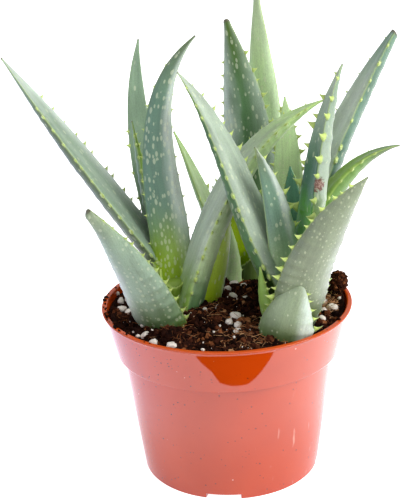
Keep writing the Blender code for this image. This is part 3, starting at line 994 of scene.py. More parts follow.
LEFT_LEAVES = (
    LeafPlan(
        "leaf_a1_front_low", ((-28, -18, 77), (-42, -30, 119.5), (-58, -46, 148)),
        26, 9, 2.3, (-112, -125), nub=2.3, teeth=Teeth(1.4, 1.0, 5.2, (0.1, 0.9), 0.6),
        finish=LeafFinish(
            outer=(Green.BOTTLE, Green.DEW, Green.SAGE), root_reach=0.42, spots=0.55,
            spot_cell=(2.6, 3.2), spot_size=0.26, spot_strength=0.3, painted_sheen=(1.3, 0.0),
            tip_wither=0.006)),
    LeafPlan(
        "leaf_a2_arching", ((-24, -13, 86), (-8.5, -4, 130), (14, 6, 160), (48, 12, 178)),
        18, 12, 3.2, (12, 35), teeth=Teeth(1.3, 1.5, 5.5, (0.08, 0.93), inward=0.8),
        finish=LeafFinish(
            inner=(Green.FERN, Green.MIST, Green.SPROUT),
            outer=(Green.HUNTER, Green.PALE, Green.SPROUT), tip_start=0.42, spots=0.25)),
    LeafPlan(
        "leaf_a3_tall_curled", ((-24.5, -6, 96), (-28.5, -2, 151), (-24.5, 2, 190), (-10, 6, 211)),
        19.5, 7, 2.2, (105, 90), channel=(-0.05, -0.08), neck=0.08,
        teeth=Teeth(0.9, 0.7, 9.0, (0.02, 0.85)),
        finish=LeafFinish(
            inner=(Green.LIME, Green.TEAL, Green.OLIVE), root_reach=0.36, spots=0.6,
            spot_cell=(1.7, 3.8), spot_size=0.34, painted_sheen=(1.4, 0.0), margin=0.15)),
    LeafPlan(
        "leaf_a4_far_left", ((-20, 3, 95), (-41, 3, 127), (-62.3, 5, 156.6), (-99, 10, 203.5)),
        24, 8, 2.4, (172, 162), neck=0.65, teeth=Teeth(1.6, 1.3, 6.5, (0.06, 0.8), inward=0.7),
        finish=LeafFinish(
            inner=(Green.TEAL, Green.DEW, Green.BLOOM_SHEEN), outer=(Green.MOSS, Green.OLIVE, Green.WAXY),
            spots=0.28, painted_sheen=(1.2, 0.0))),
    LeafPlan(
        "leaf_a5_slim", ((-25, 0, 96), (-33, 9, 130), (-41, 12, 171)),
        11, 3.5, 1.8, (158, 162), channel=(0.2, 0.3), teeth=Teeth(1.8, 1.8, 5.0, (0.04, 0.92)),
        finish=LeafFinish(inner=(Green.LIME, Green.FERN, Green.BOTTLE), tip_start=0.6, spots=0.35)),
    LeafPlan(
        "leaf_a6_rear_upright", ((-25, 1, 94), (-34, 17, 135), (-39, 23, 178), (-37, 26, 206.5)),
        14, 5, 3.4, (110, 110), teeth=Teeth(1.2, 1.4, 8.0, (0.2, 0.65)),
        finish=LeafFinish(inner=(Green.LEAF, Green.WAXY, Green.WAXY), spots=0.05, margin=0.1)),
    LeafPlan(
        "leaf_a7_short_green", ((-12.5, -3, 81), (-5, 0, 112), (1.5, 2, 137)),
        21, 7, 2.6, (-30, -30), teeth=Teeth(0.7, 0.7, 6.0),
        finish=LeafFinish(
            outer=(Green.ACID, Green.MARGIN, Green.MARGIN), root_reach=0.7, spot_cell=(2.4, 5.0),
            painted_sheen=(0.0, 1.5), margin=0.8)),
)
BACK_LEAVES = (
    # Painted light: the pale outer pigments lighten a leaf that lies in shade.
    LeafPlan(
        "leaf_b1_stub", ((2.5, 31, 77), (3.5, 29, 96), (3, 28, 112)),
        10, 5, 2.2, (-90, -90), teeth=Teeth(0.6, 0.6, 5.0),
        finish=LeafFinish(
            outer=(Green.FERN, Green.PEARL, Green.PEARL), spots=0.6, spot_cell=(1.6, 3.6))),
    LeafPlan(
        "leaf_b2_short_channel", ((10.5, 32.5, 79), (9, 33, 105), (6.5, 32, 129)),
        19, 6, 1.8, (95, 95), channel=(0.2, 0.2), teeth=Teeth(0.6, 0.6, 4.0),
        finish=LeafFinish(inner=(Green.ACID, Green.ACID, Green.LEAF), spots=0.15, margin=0.6)),
    LeafPlan(
        "leaf_b3_left_leaning", ((7, 34, 79), (-4, 33, 116), (-22.5, 30, 160.5)),
        16, 6, 2.0, (160, 150), teeth=Teeth(1.4, 1.5, 7.0, (0.25, 0.6)),
        finish=LeafFinish(
            inner=(Green.FRESH, Green.GLAZE, Green.SPROUT),
            outer=(Green.FERN, Green.SPROUT, Green.SPROUT), spots=0.1)),
    # Painted light: the pale inner root colour lightens the shade where the leaf crosses its
    # neighbours.
    LeafPlan(
        "leaf_b4_broad_tall", ((14.5, 38, 81), (14.5, 40, 131), (11, 41, 172), (4, 41, 211.5)),
        28, 7, 3.0, (85, 80), channel=(-0.05, -0.05), nub=1.5,
        teeth=Teeth(1.2, 1.8, 6.0, (0.1, 0.85)),
        finish=LeafFinish(
            inner=(Green.SPROUT, Green.HUNTER, Green.BOTTLE), root_reach=0.45, spots=0.55,
            painted_sheen=(0.4, 0.9), margin=0.2, tip_wither=0.01)),
    LeafPlan(
        "leaf_b5_tallest", ((18, 42, 81), (22, 48, 144), (20.5, 51, 184), (19, 52, 220.5)),
        20, 6, 3.2, (80, 70), nub=1.6, channel=(-0.05, -0.05),
        teeth=Teeth(0.6, 1.6, 6.0, (0.1, 0.6)),
        finish=LeafFinish(
            inner=(Green.LIME, Green.PEARL, Green.PALE), spots=0.12, painted_sheen=(0.35, 0.0),
            margin=0.4)),
)
RIGHT_LEAVES = (
    LeafPlan(
        "leaf_c1_front_stub", ((25.5, -33, 75), (28.5, -36, 93), (34, -37, 107)),
        26, 9, 2.6, (-95, -95), nub=1.8, teeth=Teeth(1.7, 0.4, 3.6, (0.12, 0.9), 0.5),
        finish=LeafFinish(
            outer=(Green.BOTTLE, Green.SAGE, Green.SAGE), root_reach=0.8, spots=0.2,
            spot_cell=(2.6, 2.8), spot_size=0.22, painted_sheen=(0.0, 0.9), margin=0.5)),
    LeafPlan(
        "leaf_c2_front_broad", ((30, -24, 77), (36.5, -30, 116), (47, -34, 137.5), (63, -36, 155)),
        28, 9, 3.6, (-62, -58), neck=0.5, teeth=Teeth(1.6, 1.9, 4.6, (0.08, 0.93), 0.1),
        finish=LeafFinish(
            outer=(Green.MOSS, Green.LICHEN, Green.LICHEN), root_reach=0.5, spots=0.55,
            spot_cell=(2.1, 2.6), spot_size=0.22, spot_strength=0.28, painted_sheen=(0.0, 0.35))),
    LeafPlan(
        "leaf_c3_low_left", ((24, -23, 79), (19, -26, 96), (16, -26, 111)),
        12, 5, 1.8, (-150, -150), teeth=Teeth(1.3, 1.3, 4.0, (0.1, 0.95)),
        finish=LeafFinish(outer=(Green.LIME, Green.FERN, Green.FERN), spots=0.2, margin=0.6)),
    # Painted light: the pale inner root colour lightens the shade that lies on the leaf's root.
    LeafPlan(
        "leaf_c4_long_leaning", ((33, -17, 94), (13, -16, 142), (-1, -12, 173), (-18.5, -8, 198)),
        23, 13, 2.1, (160, 135), neck=0.4, channel=(0.0, 0.0),
        teeth=Teeth(1.9, 1.9, 6.6, (0.06, 0.93), inward=0.8),
        finish=LeafFinish(
            inner=(Green.MIST, Green.SILVER, Green.MIST),
            outer=(Green.MOSS, Green.HUNTER, Green.LEAF), spot_cell=(1.9, 4.4))),
    # Painted light: the pale root colour and the strong pale band on one side lighten the shade that
    # neighbouring leaves cast on it.
    LeafPlan(
        "leaf_c5_young_centre", ((27.5, -19, 94), (24.0, -22, 138), (14.8, -20, 165.5)),
        14.5, 6, 3.0, (110, 110), channel=(-0.06, -0.06), teeth=Teeth(0.2, 1.9, 6.8, (0.1, 0.93)),
        finish=LeafFinish(
            inner=(Green.PEARL, Green.JADE, Green.OLIVE), root_reach=0.55, spots=0.4,
            spot_cell=(2.0, 3.4), painted_sheen=(2.0, 0.0))),
    LeafPlan(
        "leaf_c6_upright_channel", ((31, -18, 95), (36.5, -18, 144), (43, -14, 173), (54.5, -8, 199)),
        21, 8, 2.6, (13, 15), channel=(0.1, 0.25),
        teeth=Teeth(2.6, 2.6, 8.0, (0.2, 0.95), 0.1, inward=1.6),
        finish=LeafFinish(
            inner=(Green.EMERALD, Green.DEEP_TEAL, Green.MIST),
            outer=(Green.FRESH, Green.SILVER, Green.WAXY), root_reach=0.48, root_start=0.36,
            tip_start=0.5, spots=0.15, scar=0.5)),
    LeafPlan(
        "leaf_c7_right_reaching", ((36, -11, 95), (45, -7, 138.5), (58.5, -3, 151.5), (82, 0, 158.5)),
        19, 10, 2.3, (0, 5), teeth=Teeth(0.8, 1.3, 6.0, (0.2, 0.85), inward=0.6),
        finish=LeafFinish(
            inner=(Green.LEAF, Green.FERN, Green.HUNTER),
            outer=(Green.LEAF, Green.LEAF, Green.OLIVE), spots=0.05)),
    LeafPlan(
        "leaf_c8_far_right", ((34, -4, 94), (43, 10, 140), (59.5, 16, 176), (81, 22, 207.5)),
        21, 8, 4.0, (20, 14), nub=2.3, teeth=Teeth(1.2, 2.2, 9.0, (0.15, 0.95), 0.1, inward=0.7),
        finish=LeafFinish(
            inner=(Green.DEEP_TEAL, Green.MIST, Green.JADE),
            outer=(Green.FRESH, Green.TEAL, Green.JADE), spots=0.1, tip_wither=0.012)),
    LeafPlan(
        "leaf_c9_inner_dark", ((30, -8, 95), (32, 1, 124), (31.5, 3, 149)),
        14, 4, 3.4, (60, 60), teeth=Teeth(0.9, 0.9, 4.0),
        finish=LeafFinish(
            inner=(Green.VIRIDIAN, Green.VIRIDIAN, Green.VIRIDIAN), spots=0.25, margin=0.1)),
    # Painted light: the pale pigments lighten a leaf that lies in shade.
    LeafPlan(
        "leaf_c10_rear_pale", ((28, -3, 94), (31.5, 21, 136), (31, 30, 175.5)),
        17, 5, 3.4, (90, 90), channel=(-0.05, -0.05), teeth=Teeth(1.2, 1.7, 5.5),
        finish=LeafFinish(inner=(Green.FERN, Green.PEARL, Green.PEARL), spot_size=0.25)),
)


# --- pot ---
def rounded(outline: list[Triple], steps: int = 5) -> Array:
    """Rounds the corners of an outline.

    Each corner becomes the curve that leaves one side and joins the next at the
    corner's radius, with one more point on each side to keep the shading flat.

    Args:
        outline: radius, height and corner radius of each point, mm.
        steps: points in each rounded corner.

    Returns:
        Radius and height of each point of the finished outline.
    """
    corners = np.array(outline, dtype=float)
    made = [corners[:1, :2]]
    t = np.linspace(0, 1, steps)[:, None]
    for before, corner, after in zip(corners, corners[1:], corners[2:]):
        to_last, to_next = before[:2] - corner[:2], after[:2] - corner[:2]
        room = 0.45 * min(np.linalg.norm(to_last), np.linalg.norm(to_next))
        cut = min(corner[2], room)
        if cut <= 0:
            made.append(corner[None, :2])
            continue
        start = corner[:2] + unit(to_last) * cut
        end = corner[:2] + unit(to_next) * cut
        hold = 0.3 * cut
        curve = (1 - t) ** 2 * start + 2 * t * (1 - t) * corner[:2] + t**2 * end
        made += [(start + unit(to_last) * hold)[None], curve, (end + unit(to_next) * hold)[None]]
    return np.concatenate(made + [corners[-1:, :2]])


@dataclass(frozen=True)
class MouldedPlastic:
    """Glossy terracotta plastic: faint clouding, dust, pale scuffs and a painted highlight on the
    lip's crest.

    Attributes:
        deep: body colour where the clouding is thin.
        light: body colour where it is thick.
        dirt: colour of dust and grime.
        scuffed: colour of the scuffs and white dots.
        inner_darkening: colour mixed faintly into the inner wall, which darkens it.
        glow: colour of the lip's thin crest, a brighter orange that paints the highlight where light
            falls on its top.
        crest: heights between which the crest begins, metres.
        coat_roughness: roughness of the glossy coat.
        coat_index: index of refraction of the coat.
        relief: height of the dust and the clouding, metres.
    """

    deep: Colour = (0.45, 0.040, 0.001)
    light: Colour = (0.56, 0.057, 0.002)
    dirt: Colour = (0.05, 0.018, 0.008)
    scuffed: Colour = (0.90, 0.62, 0.50)
    inner_darkening: Colour = (0.16, 0.03, 0.006)
    glow: Colour = (0.72, 0.12, 0.02)
    crest: Pair = (0.0829, 0.0836)
    coat_roughness: float = 0.05
    coat_index: float = 1.65
    relief: float = 0.00015

    def material(self, groups: Groups) -> Material:
        """Lays clouding, dust, scuffs, a faint darkening of the inner wall and the crest's painted
        highlight over each other.

        Args:
            groups: shared node groups by name.

        Returns:
            The material.
        """
        material, w, shader = new_material("terracotta_plastic")
        place = w.place()
        across, _, up = w.add("ShaderNodeSeparateXYZ", {0: place}).outputs

        def specked(scale: float, amount: float, size: float, thick: object) -> Socket:
            """Places the group of specks and returns its mask."""
            return groups["specks"].into(w, {"Vector": place, "Scale": scale, "Amount": amount,
                                             "Size": size, "Thick": thick}).outputs[0]

        cloud = w.noise(place, 45.0, 3.0)
        body = w.mix(cloud, self.deep, self.light)
        leftward = w.fade(across, -0.06, 0.03, 2.2, 0.5)
        thick = w.math("MULTIPLY", leftward, w.fade(up, 0.02, 0.08, 0.6, 1.3))
        dust, grime = specked(620.0, 0.2, 0.26, thick), specked(260.0, 0.08, 0.13, thick)
        soiled = w.mix(w.math("MAXIMUM", dust, grime), body, self.dirt)
        smear = w.noise(w.stretch(place, (330.0, 330.0, 45.0)), 1.0, 2.0, 0.6)
        low_right = w.math("MULTIPLY", w.fade(across, -0.01, 0.03), w.fade(up, 0.06, 0.01))
        scuff = w.math("MULTIPLY", w.fade(smear, 0.68, 0.77, 0.0, 0.5), low_right)
        dots = w.math("MULTIPLY", specked(300.0, 0.05, 0.17, 1.0), 0.7)
        worn = w.mix(w.math("MAXIMUM", scuff, dots), soiled, self.scuffed)
        inner = w.fade(w.number("inside"), 0.3, 0.7)
        # Darkens the inner wall faintly.
        stained = w.mix(w.math("MULTIPLY", inner, 0.05), worn, self.inner_darkening)
        fine = w.noise(place, 900.0, 2.0)
        height = w.math("MULTIPLY_ADD", dust, 3.0, w.math("MULTIPLY_ADD", cloud, 2.0, fine))
        bare = w.math("MAXIMUM", w.fade(up, *self.crest, 0.0, 0.55),
                      w.math("MULTIPLY", inner, 0.55))
        w.dress(shader, {
            # Painted highlight: the lip's thin top crest is mixed towards a brighter orange.
            "Base Color": w.mix(w.fade(up, *self.crest, 0.0, 0.45), stained, self.glow),
            "Roughness": w.math("MULTIPLY_ADD", cloud, 0.12, 0.44),
            "Normal": w.bump(height, 0.12, self.relief), "Specular IOR Level": 0.0,
            "Coat Weight": w.math("SUBTRACT", 1.0, bare),
            "Coat Roughness": self.coat_roughness, "Coat IOR": self.coat_index})
        return material


@dataclass
class NurseryPot:
    """A moulded pot: a tapered body, a wider collar, a rolled lip and a notched foot ring.

    Attributes:
        height: full height, mm.
        lip_radius: outer radius of the lip.
        lip_inner: radius of the mouth.
        lip_depth: height of the lip's band.
        collar_top: outer radius of the collar under the lip.
        collar_foot: outer radius of the collar's lower edge.
        collar_depth: height of lip and collar together.
        body_top: outer radius of the body under the collar.
        body_foot: outer radius of the foot.
        wall: thickness of the wall.
        floor_top: height of the floor's upper face.
        floor_under: height of the floor's underside.
        ring_width: width of the foot ring.
        pad: radius of the flat pad in the middle of the underside.
        notch_width: width of a notch in the foot ring.
        notch_height: height of a notch.
        notch_turns: azimuths of the notches, degrees.
        drain_radius: radius of a drain hole.
        drain_circle: radius of the circle that the drain holes stand on.
        drain_count: number of drain holes.
        drain_turn: turn of the holes, as a share of the angle between two.
        around: points in a ring.
        finish: its plastic.
    """

    height: float = 84.0
    lip_radius: float = 60.0
    lip_inner: float = 57.5
    lip_depth: float = 1.1
    collar_top: float = 58.9
    collar_foot: float = 54.0
    collar_depth: float = 22.5
    body_top: float = 51.0
    body_foot: float = 43.0
    wall: float = 1.4
    floor_top: float = 4.0
    floor_under: float = 2.0
    ring_width: float = 4.0
    pad: float = 9.0
    notch_width: float = 16.0
    notch_height: float = 2.6
    notch_turns: tuple[float, ...] = (-96.0, -6.0, 84.0, 174.0)
    drain_radius: float = 3.5
    drain_circle: float = 25.0
    drain_count: int = 6
    drain_turn: float = 0.37
    around: int = 240
    finish: MouldedPlastic = MouldedPlastic()

    def outline(self) -> Array:
        """Outline of the wall from the middle of the floor, over the lip, to the pad.

        Returns:
            Radius and height of each point, mm.
        """
        ledge = self.height - self.collar_depth
        lip_foot = self.height - self.lip_depth
        inner_foot = self.body_foot - self.wall + 0.4
        ring_inner = self.body_foot - self.ring_width
        return rounded([
            (0.0, self.floor_top, 0.0),
            (inner_foot, self.floor_top, 2.0),
            (self.body_top - self.wall, ledge + self.wall, 0.6),
            (self.collar_foot - self.wall, ledge + self.wall, 0.6),
            (self.lip_inner - 0.1, lip_foot, 1.0),
            (self.lip_inner + 0.1, self.height, 0.9),
            (self.lip_radius, self.height, 0.9),
            (self.lip_radius - 0.1, lip_foot + 0.05, 0.45),
            (self.collar_top, lip_foot - 0.5, 0.5),
            (self.collar_foot, ledge, 0.8),
            (self.body_top, ledge - 0.1, 0.5),
            *[(self.body_top + (self.body_foot - self.body_top) * t, (ledge - 0.1) * (1 - t), 0.0)
              for t in (0.2, 0.5, 0.8, 0.93, 0.955, 0.96)],
            (self.body_foot, 0.0, 0.6),
            (ring_inner, 0.0, 0.4),
            (ring_inner - 0.3, self.floor_under, 0.3),
            (self.pad + 0.4, self.floor_under, 0.3),
            (self.pad, 0.0, 0.3),
            (0.0, 0.0, 0.0),
        ])

    def shell(self) -> Shell:
        """The outline turned about the axis, with the notches pressed into the foot ring.

        Returns:
            The closed wall.
        """
        profile = self.outline()[1:-1]
        half = math.degrees(self.notch_width / 2 / (self.body_foot - self.ring_width / 2))
        edges = [turn + side * (half + gap) for turn in self.notch_turns for side in (-1, 1)
                 for gap in (0.0, 0.12)]
        turns = np.unique(np.mod(np.concatenate([np.linspace(0, 360, self.around, False), edges]),
                                 360))
        angle = np.radians(turns)
        radius, height = profile[:, :1], profile[:, 1:]
        apart = np.abs((turns[:, None] - self.notch_turns + 180) % 360 - 180).min(axis=1)
        in_notch = (apart <= half + 1e-6)[None, :] & (radius > self.body_foot - 6)
        height = np.where(in_notch & (height < self.notch_height), self.notch_height, height)
        rings = polar(radius, angle, height)
        poles = np.array([[0, 0, self.floor_top], [0, 0, 0.0]])
        within = np.arange(len(profile)) < int(np.argmax(profile[:, 1] > self.height - 0.2))
        values = {"inside": within[None, :, None] * 1.0}
        return close_rings(rings[None], poles[None], values).outward()

    def drill(self, pot: Object) -> None:
        """Cuts the drain holes through the floor.

        Args:
            pot: the object to cut.
        """
        levels = np.array([[self.floor_under - 1], [self.floor_top + 1]])
        stand = math.tau * (np.arange(self.drain_count) + self.drain_turn) / self.drain_count
        rings = (polar(self.drain_radius, circle(32), levels)
                 + polar(self.drain_circle, stand, 0.0)[:, None, None])
        poles = np.stack([rings[:, 0].mean(axis=1), rings[:, 1].mean(axis=1)], axis=1)
        cutter = make_object("drain_cutter", close_rings(rings, poles).outward())
        cut = pot.modifiers.new("drains", "BOOLEAN")
        cut.operation, cut.solver, cut.object = "DIFFERENCE", "EXACT", cutter
        graph = bpy.context.evaluated_depsgraph_get()
        mesh = bpy.data.meshes.new_from_object(pot.evaluated_get(graph), depsgraph=graph)
        pot.modifiers.clear()
        pot.data = mesh
        bpy.data.objects.remove(cutter, do_unlink=True)

    def build(self, groups: Groups) -> None:
        """Makes the pot in place of its CAD node.

        Args:
            groups: shared node groups by name.
        """
        pot = make_object("pot_shell", self.shell())
        self.drill(pot)
        place_piece(pot, self.finish.material(groups), "pot", "pot")


# --- growing medium ---
class Earth(Enum):
    """Pigments of the soil, its fibres and the perlite, as linear colours."""

    BLACK = (0.010, 0.004, 0.003)
    UMBER = (0.036, 0.011, 0.006)
    RUSSET = (0.110, 0.034, 0.014)
    SIENNA = (0.260, 0.095, 0.035)
    STRAW = (0.520, 0.300, 0.150)
    CHALK = (0.800, 0.735, 0.665)
    STAIN = (0.420, 0.260, 0.160)


@dataclass(frozen=True)
class DampSoil:
    """Damp soil: dark brown with russet grains, matt and gritty.

    Attributes:
        name: name of the material.
        loose: True for crumbs and fibres, which carry their own tone.
        bands: each lighter pigment, with the tones between which it takes over.
        grain: scale of the grains, per metre.
        patch: scale of the damp and dry patches.
        relief: height of the grains, metres.
    """

    name: str
    loose: bool
    bands: tuple[tuple[Earth, float, float], ...] = (
        (Earth.UMBER, 0.10, 0.42), (Earth.RUSSET, 0.38, 0.60),
        (Earth.SIENNA, 0.58, 0.78), (Earth.STRAW, 0.76, 0.98))
    grain: float = 900.0
    patch: float = 160.0
    relief: float = 0.0006

    def material(self) -> Material:
        """Blends the pigments by tone, from black to straw.

        Returns:
            The material.
        """
        material, w, shader = new_material(self.name)
        place = w.place()
        grain = w.noise(place, self.grain, 3.0, 0.6)
        patch = w.noise(place, self.patch, 2.0)
        if self.loose:
            tone = w.sway(grain, 0.35, w.number("tone"))
        else:
            tone = w.sway(grain, 0.8, w.math("MULTIPLY", patch, 0.45))
        colour = Earth.BLACK.value
        for pigment, start, end in self.bands:
            colour = w.mix(w.fade(tone, start, end), colour, pigment.value)
        w.dress(shader, {
            "Base Color": colour, "Roughness": w.fade(patch, 0.3, 0.7, 0.98, 0.8),
            "Normal": w.bump(grain, 0.7, self.relief), "Specular IOR Level": 0.03})
        return material


@dataclass(frozen=True)
class PerliteChalk:
    """Perlite: porous off-white, stained brown in its pits.

    Attributes:
        pits: scale of the pits, per metre.
        clouds: scale of the stains.
        relief: depth of the pits, metres.
    """

    pits: float = 1500.0
    clouds: float = 260.0
    relief: float = 0.0004

    def material(self) -> Material:
        """Stains the grains by their tone, and the pits of every grain.

        Returns:
            The material.
        """
        material, w, shader = new_material("perlite_chalk")
        place = w.place()
        pits, cloud = w.noise(place, self.pits, 3.0, 0.6), w.noise(place, self.clouds, 2.0)
        soiled = w.math("MULTIPLY", w.fade(cloud, 0.55, 0.8),
                        w.fade(w.number("tone"), 0.0, 1.0, 0.15, 0.8))
        stained = w.mix(soiled, Earth.CHALK.value, Earth.STAIN.value)
        w.dress(shader, {
            "Base Color": w.mix(w.fade(pits, 0.36, 0.2, 0.0, 0.5), stained, Earth.STAIN.value),
            "Roughness": w.fade(pits, 0.3, 0.7, 0.95, 0.7),
            "Normal": w.bump(pits, 0.5, self.relief)})
        return material


class Seed(IntEnum):
    """Picks the irregularities of each part."""

    COARSE_CRUMBS = 3
    FINE_CRUMBS = 4
    FIBRES = 5
    GRIT = 9
    GROUND = 11
    CLOD_CRUMBS = 15
    GRAINS = 21
    CHIPS = 31
    CLOD = 50
    CLUMPS = 63
    SPILLED = 77
    LEFT_LEAVES = 101
    BACK_LEAVES = 201
    RIGHT_LEAVES = 301


def ball(rows: int, around: int, stagger: float = 0.0) -> Array:
    """Spreads points over a unit sphere, ring by ring, and then adds both poles.

    Args:
        rows: number of rings.
        around: points in each ring.
        stagger: turn of every second ring, as a share of the step between points.

    Returns:
        The points, one row each.
    """
    tilt = (np.arange(rows)[:, None] + 1) / (rows + 1) * math.pi
    turn = (np.arange(around) + stagger * (np.arange(rows)[:, None] % 2)) / around * math.tau
    rings = polar(np.sin(tilt), turn, np.cos(tilt))
    return np.concatenate([rings.reshape(-1, 3), [[0, 0, 1.0], [0, 0, -1.0]]])


def wrap(balls: Array, rows: int, tones: Array) -> Shell:
    """Skins changed balls.

    Args:
        balls: points of each ball in mm, numbered as ball() numbers them.
        rows: number of rings in each.
        tones: one number for each ball, kept as the attribute "tone".

    Returns:
        One shell with every ball.
    """
    rings = balls[:, :-2].reshape(len(balls), rows, -1, 3)
    return close_rings(rings, balls[:, -2:], {"tone": tones[:, None, None]}).outward()


def turns(rng: np.random.Generator, count: int) -> Array:
    """Random rotation matrices, made from evenly spread unit quaternions.

    Args:
        rng: source of the rotations.
        count: how many.

    Returns:
        Matrices, shaped (count, 3, 3).
    """
    a, b, c, d = unit(rng.normal(size=(count, 4))).T
    rows = [
        [a * a + b * b - c * c - d * d, 2 * (b * c - a * d), 2 * (b * d + a * c)],
        [2 * (b * c + a * d), a * a - b * b + c * c - d * d, 2 * (c * d - a * b)],
        [2 * (b * d - a * c), 2 * (c * d + a * b), a * a - b * b - c * c + d * d],
    ]
    return np.moveaxis(np.array(rows), -1, 0)


def lumps(places: Array, sizes: Array, tones: Array, rng: np.random.Generator,
          rows: int = 4, around: int = 4, rough: float = 0.25) -> Shell:
    """Angular crumbs: small spheres with loosened points, stretched and turned at random.

    Args:
        places: centres in mm, one row each.
        sizes: mean radii in mm, one row of three for each crumb.
        tones: one number for each crumb, kept as the attribute "tone".
        rng: source of the irregularities.
        rows: rings of a crumb.
        around: points in a ring.
        rough: how far a point strays, as a share of the radius.

    Returns:
        One shell with every crumb.
    """
    grow = np.ones((len(places), rows * around + 2, 1))
    grow[:, :-2] = rng.uniform(1 - rough, 1 + rough, (len(places), rows * around, 1))
    crumbs = ball(rows, around, 0.5) * grow * sizes[:, None]
    turned = np.einsum("nij,nkj->nki", turns(rng, len(places)), crumbs)
    return wrap(turned + places[:, None], rows, tones)


def strands(starts: Array, heading: Array, lift: Array, length: Array, radius: Array,
            tones: Array, rng: np.random.Generator) -> Shell:
    """Loose fibres: thin four-sided tubes along curves that bend with the square of the way.

    Args:
        starts: first points in mm, one row each.
        heading: azimuths in radians.
        lift: rise of each fibre over its length, as a slope.
        length: lengths in mm.
        radius: radii in mm.
        tones: one number for each fibre, kept as the attribute "tone".
        rng: source of the bends.

    Returns:
        One shell with every fibre.
    """
    count, rows = len(starts), 6
    ahead = unit(polar(1.0, heading, lift))
    aside = unit(np.cross(ahead, np.array([0.0, 0.0, 1.0])))
    above = np.cross(aside, ahead)
    t = np.linspace(0, 1, rows)[None, :, None]
    bend = rng.normal(0, 0.35, (count, 1, 1)) * aside[:, None]
    sag = rng.uniform(-0.5, 0.15, (count, 1, 1)) * above[:, None]
    way = starts[:, None] + length[:, None, None] * (t * ahead[:, None] + t * t * (bend + sag))
    turn = circle(4)
    thin = radius[:, None, None, None] * (1 - 0.6 * t[..., None])
    rings = way[:, :, None] + thin * (np.cos(turn)[None, None, :, None] * aside[:, None, None]
                                      + np.sin(turn)[None, None, :, None] * above[:, None, None])
    ends = np.stack([way[:, 0] - 0.05 * ahead, way[:, -1] + 0.05 * ahead], axis=1)
    return close_rings(rings, ends, {"tone": tones[:, None, None]}).outward()


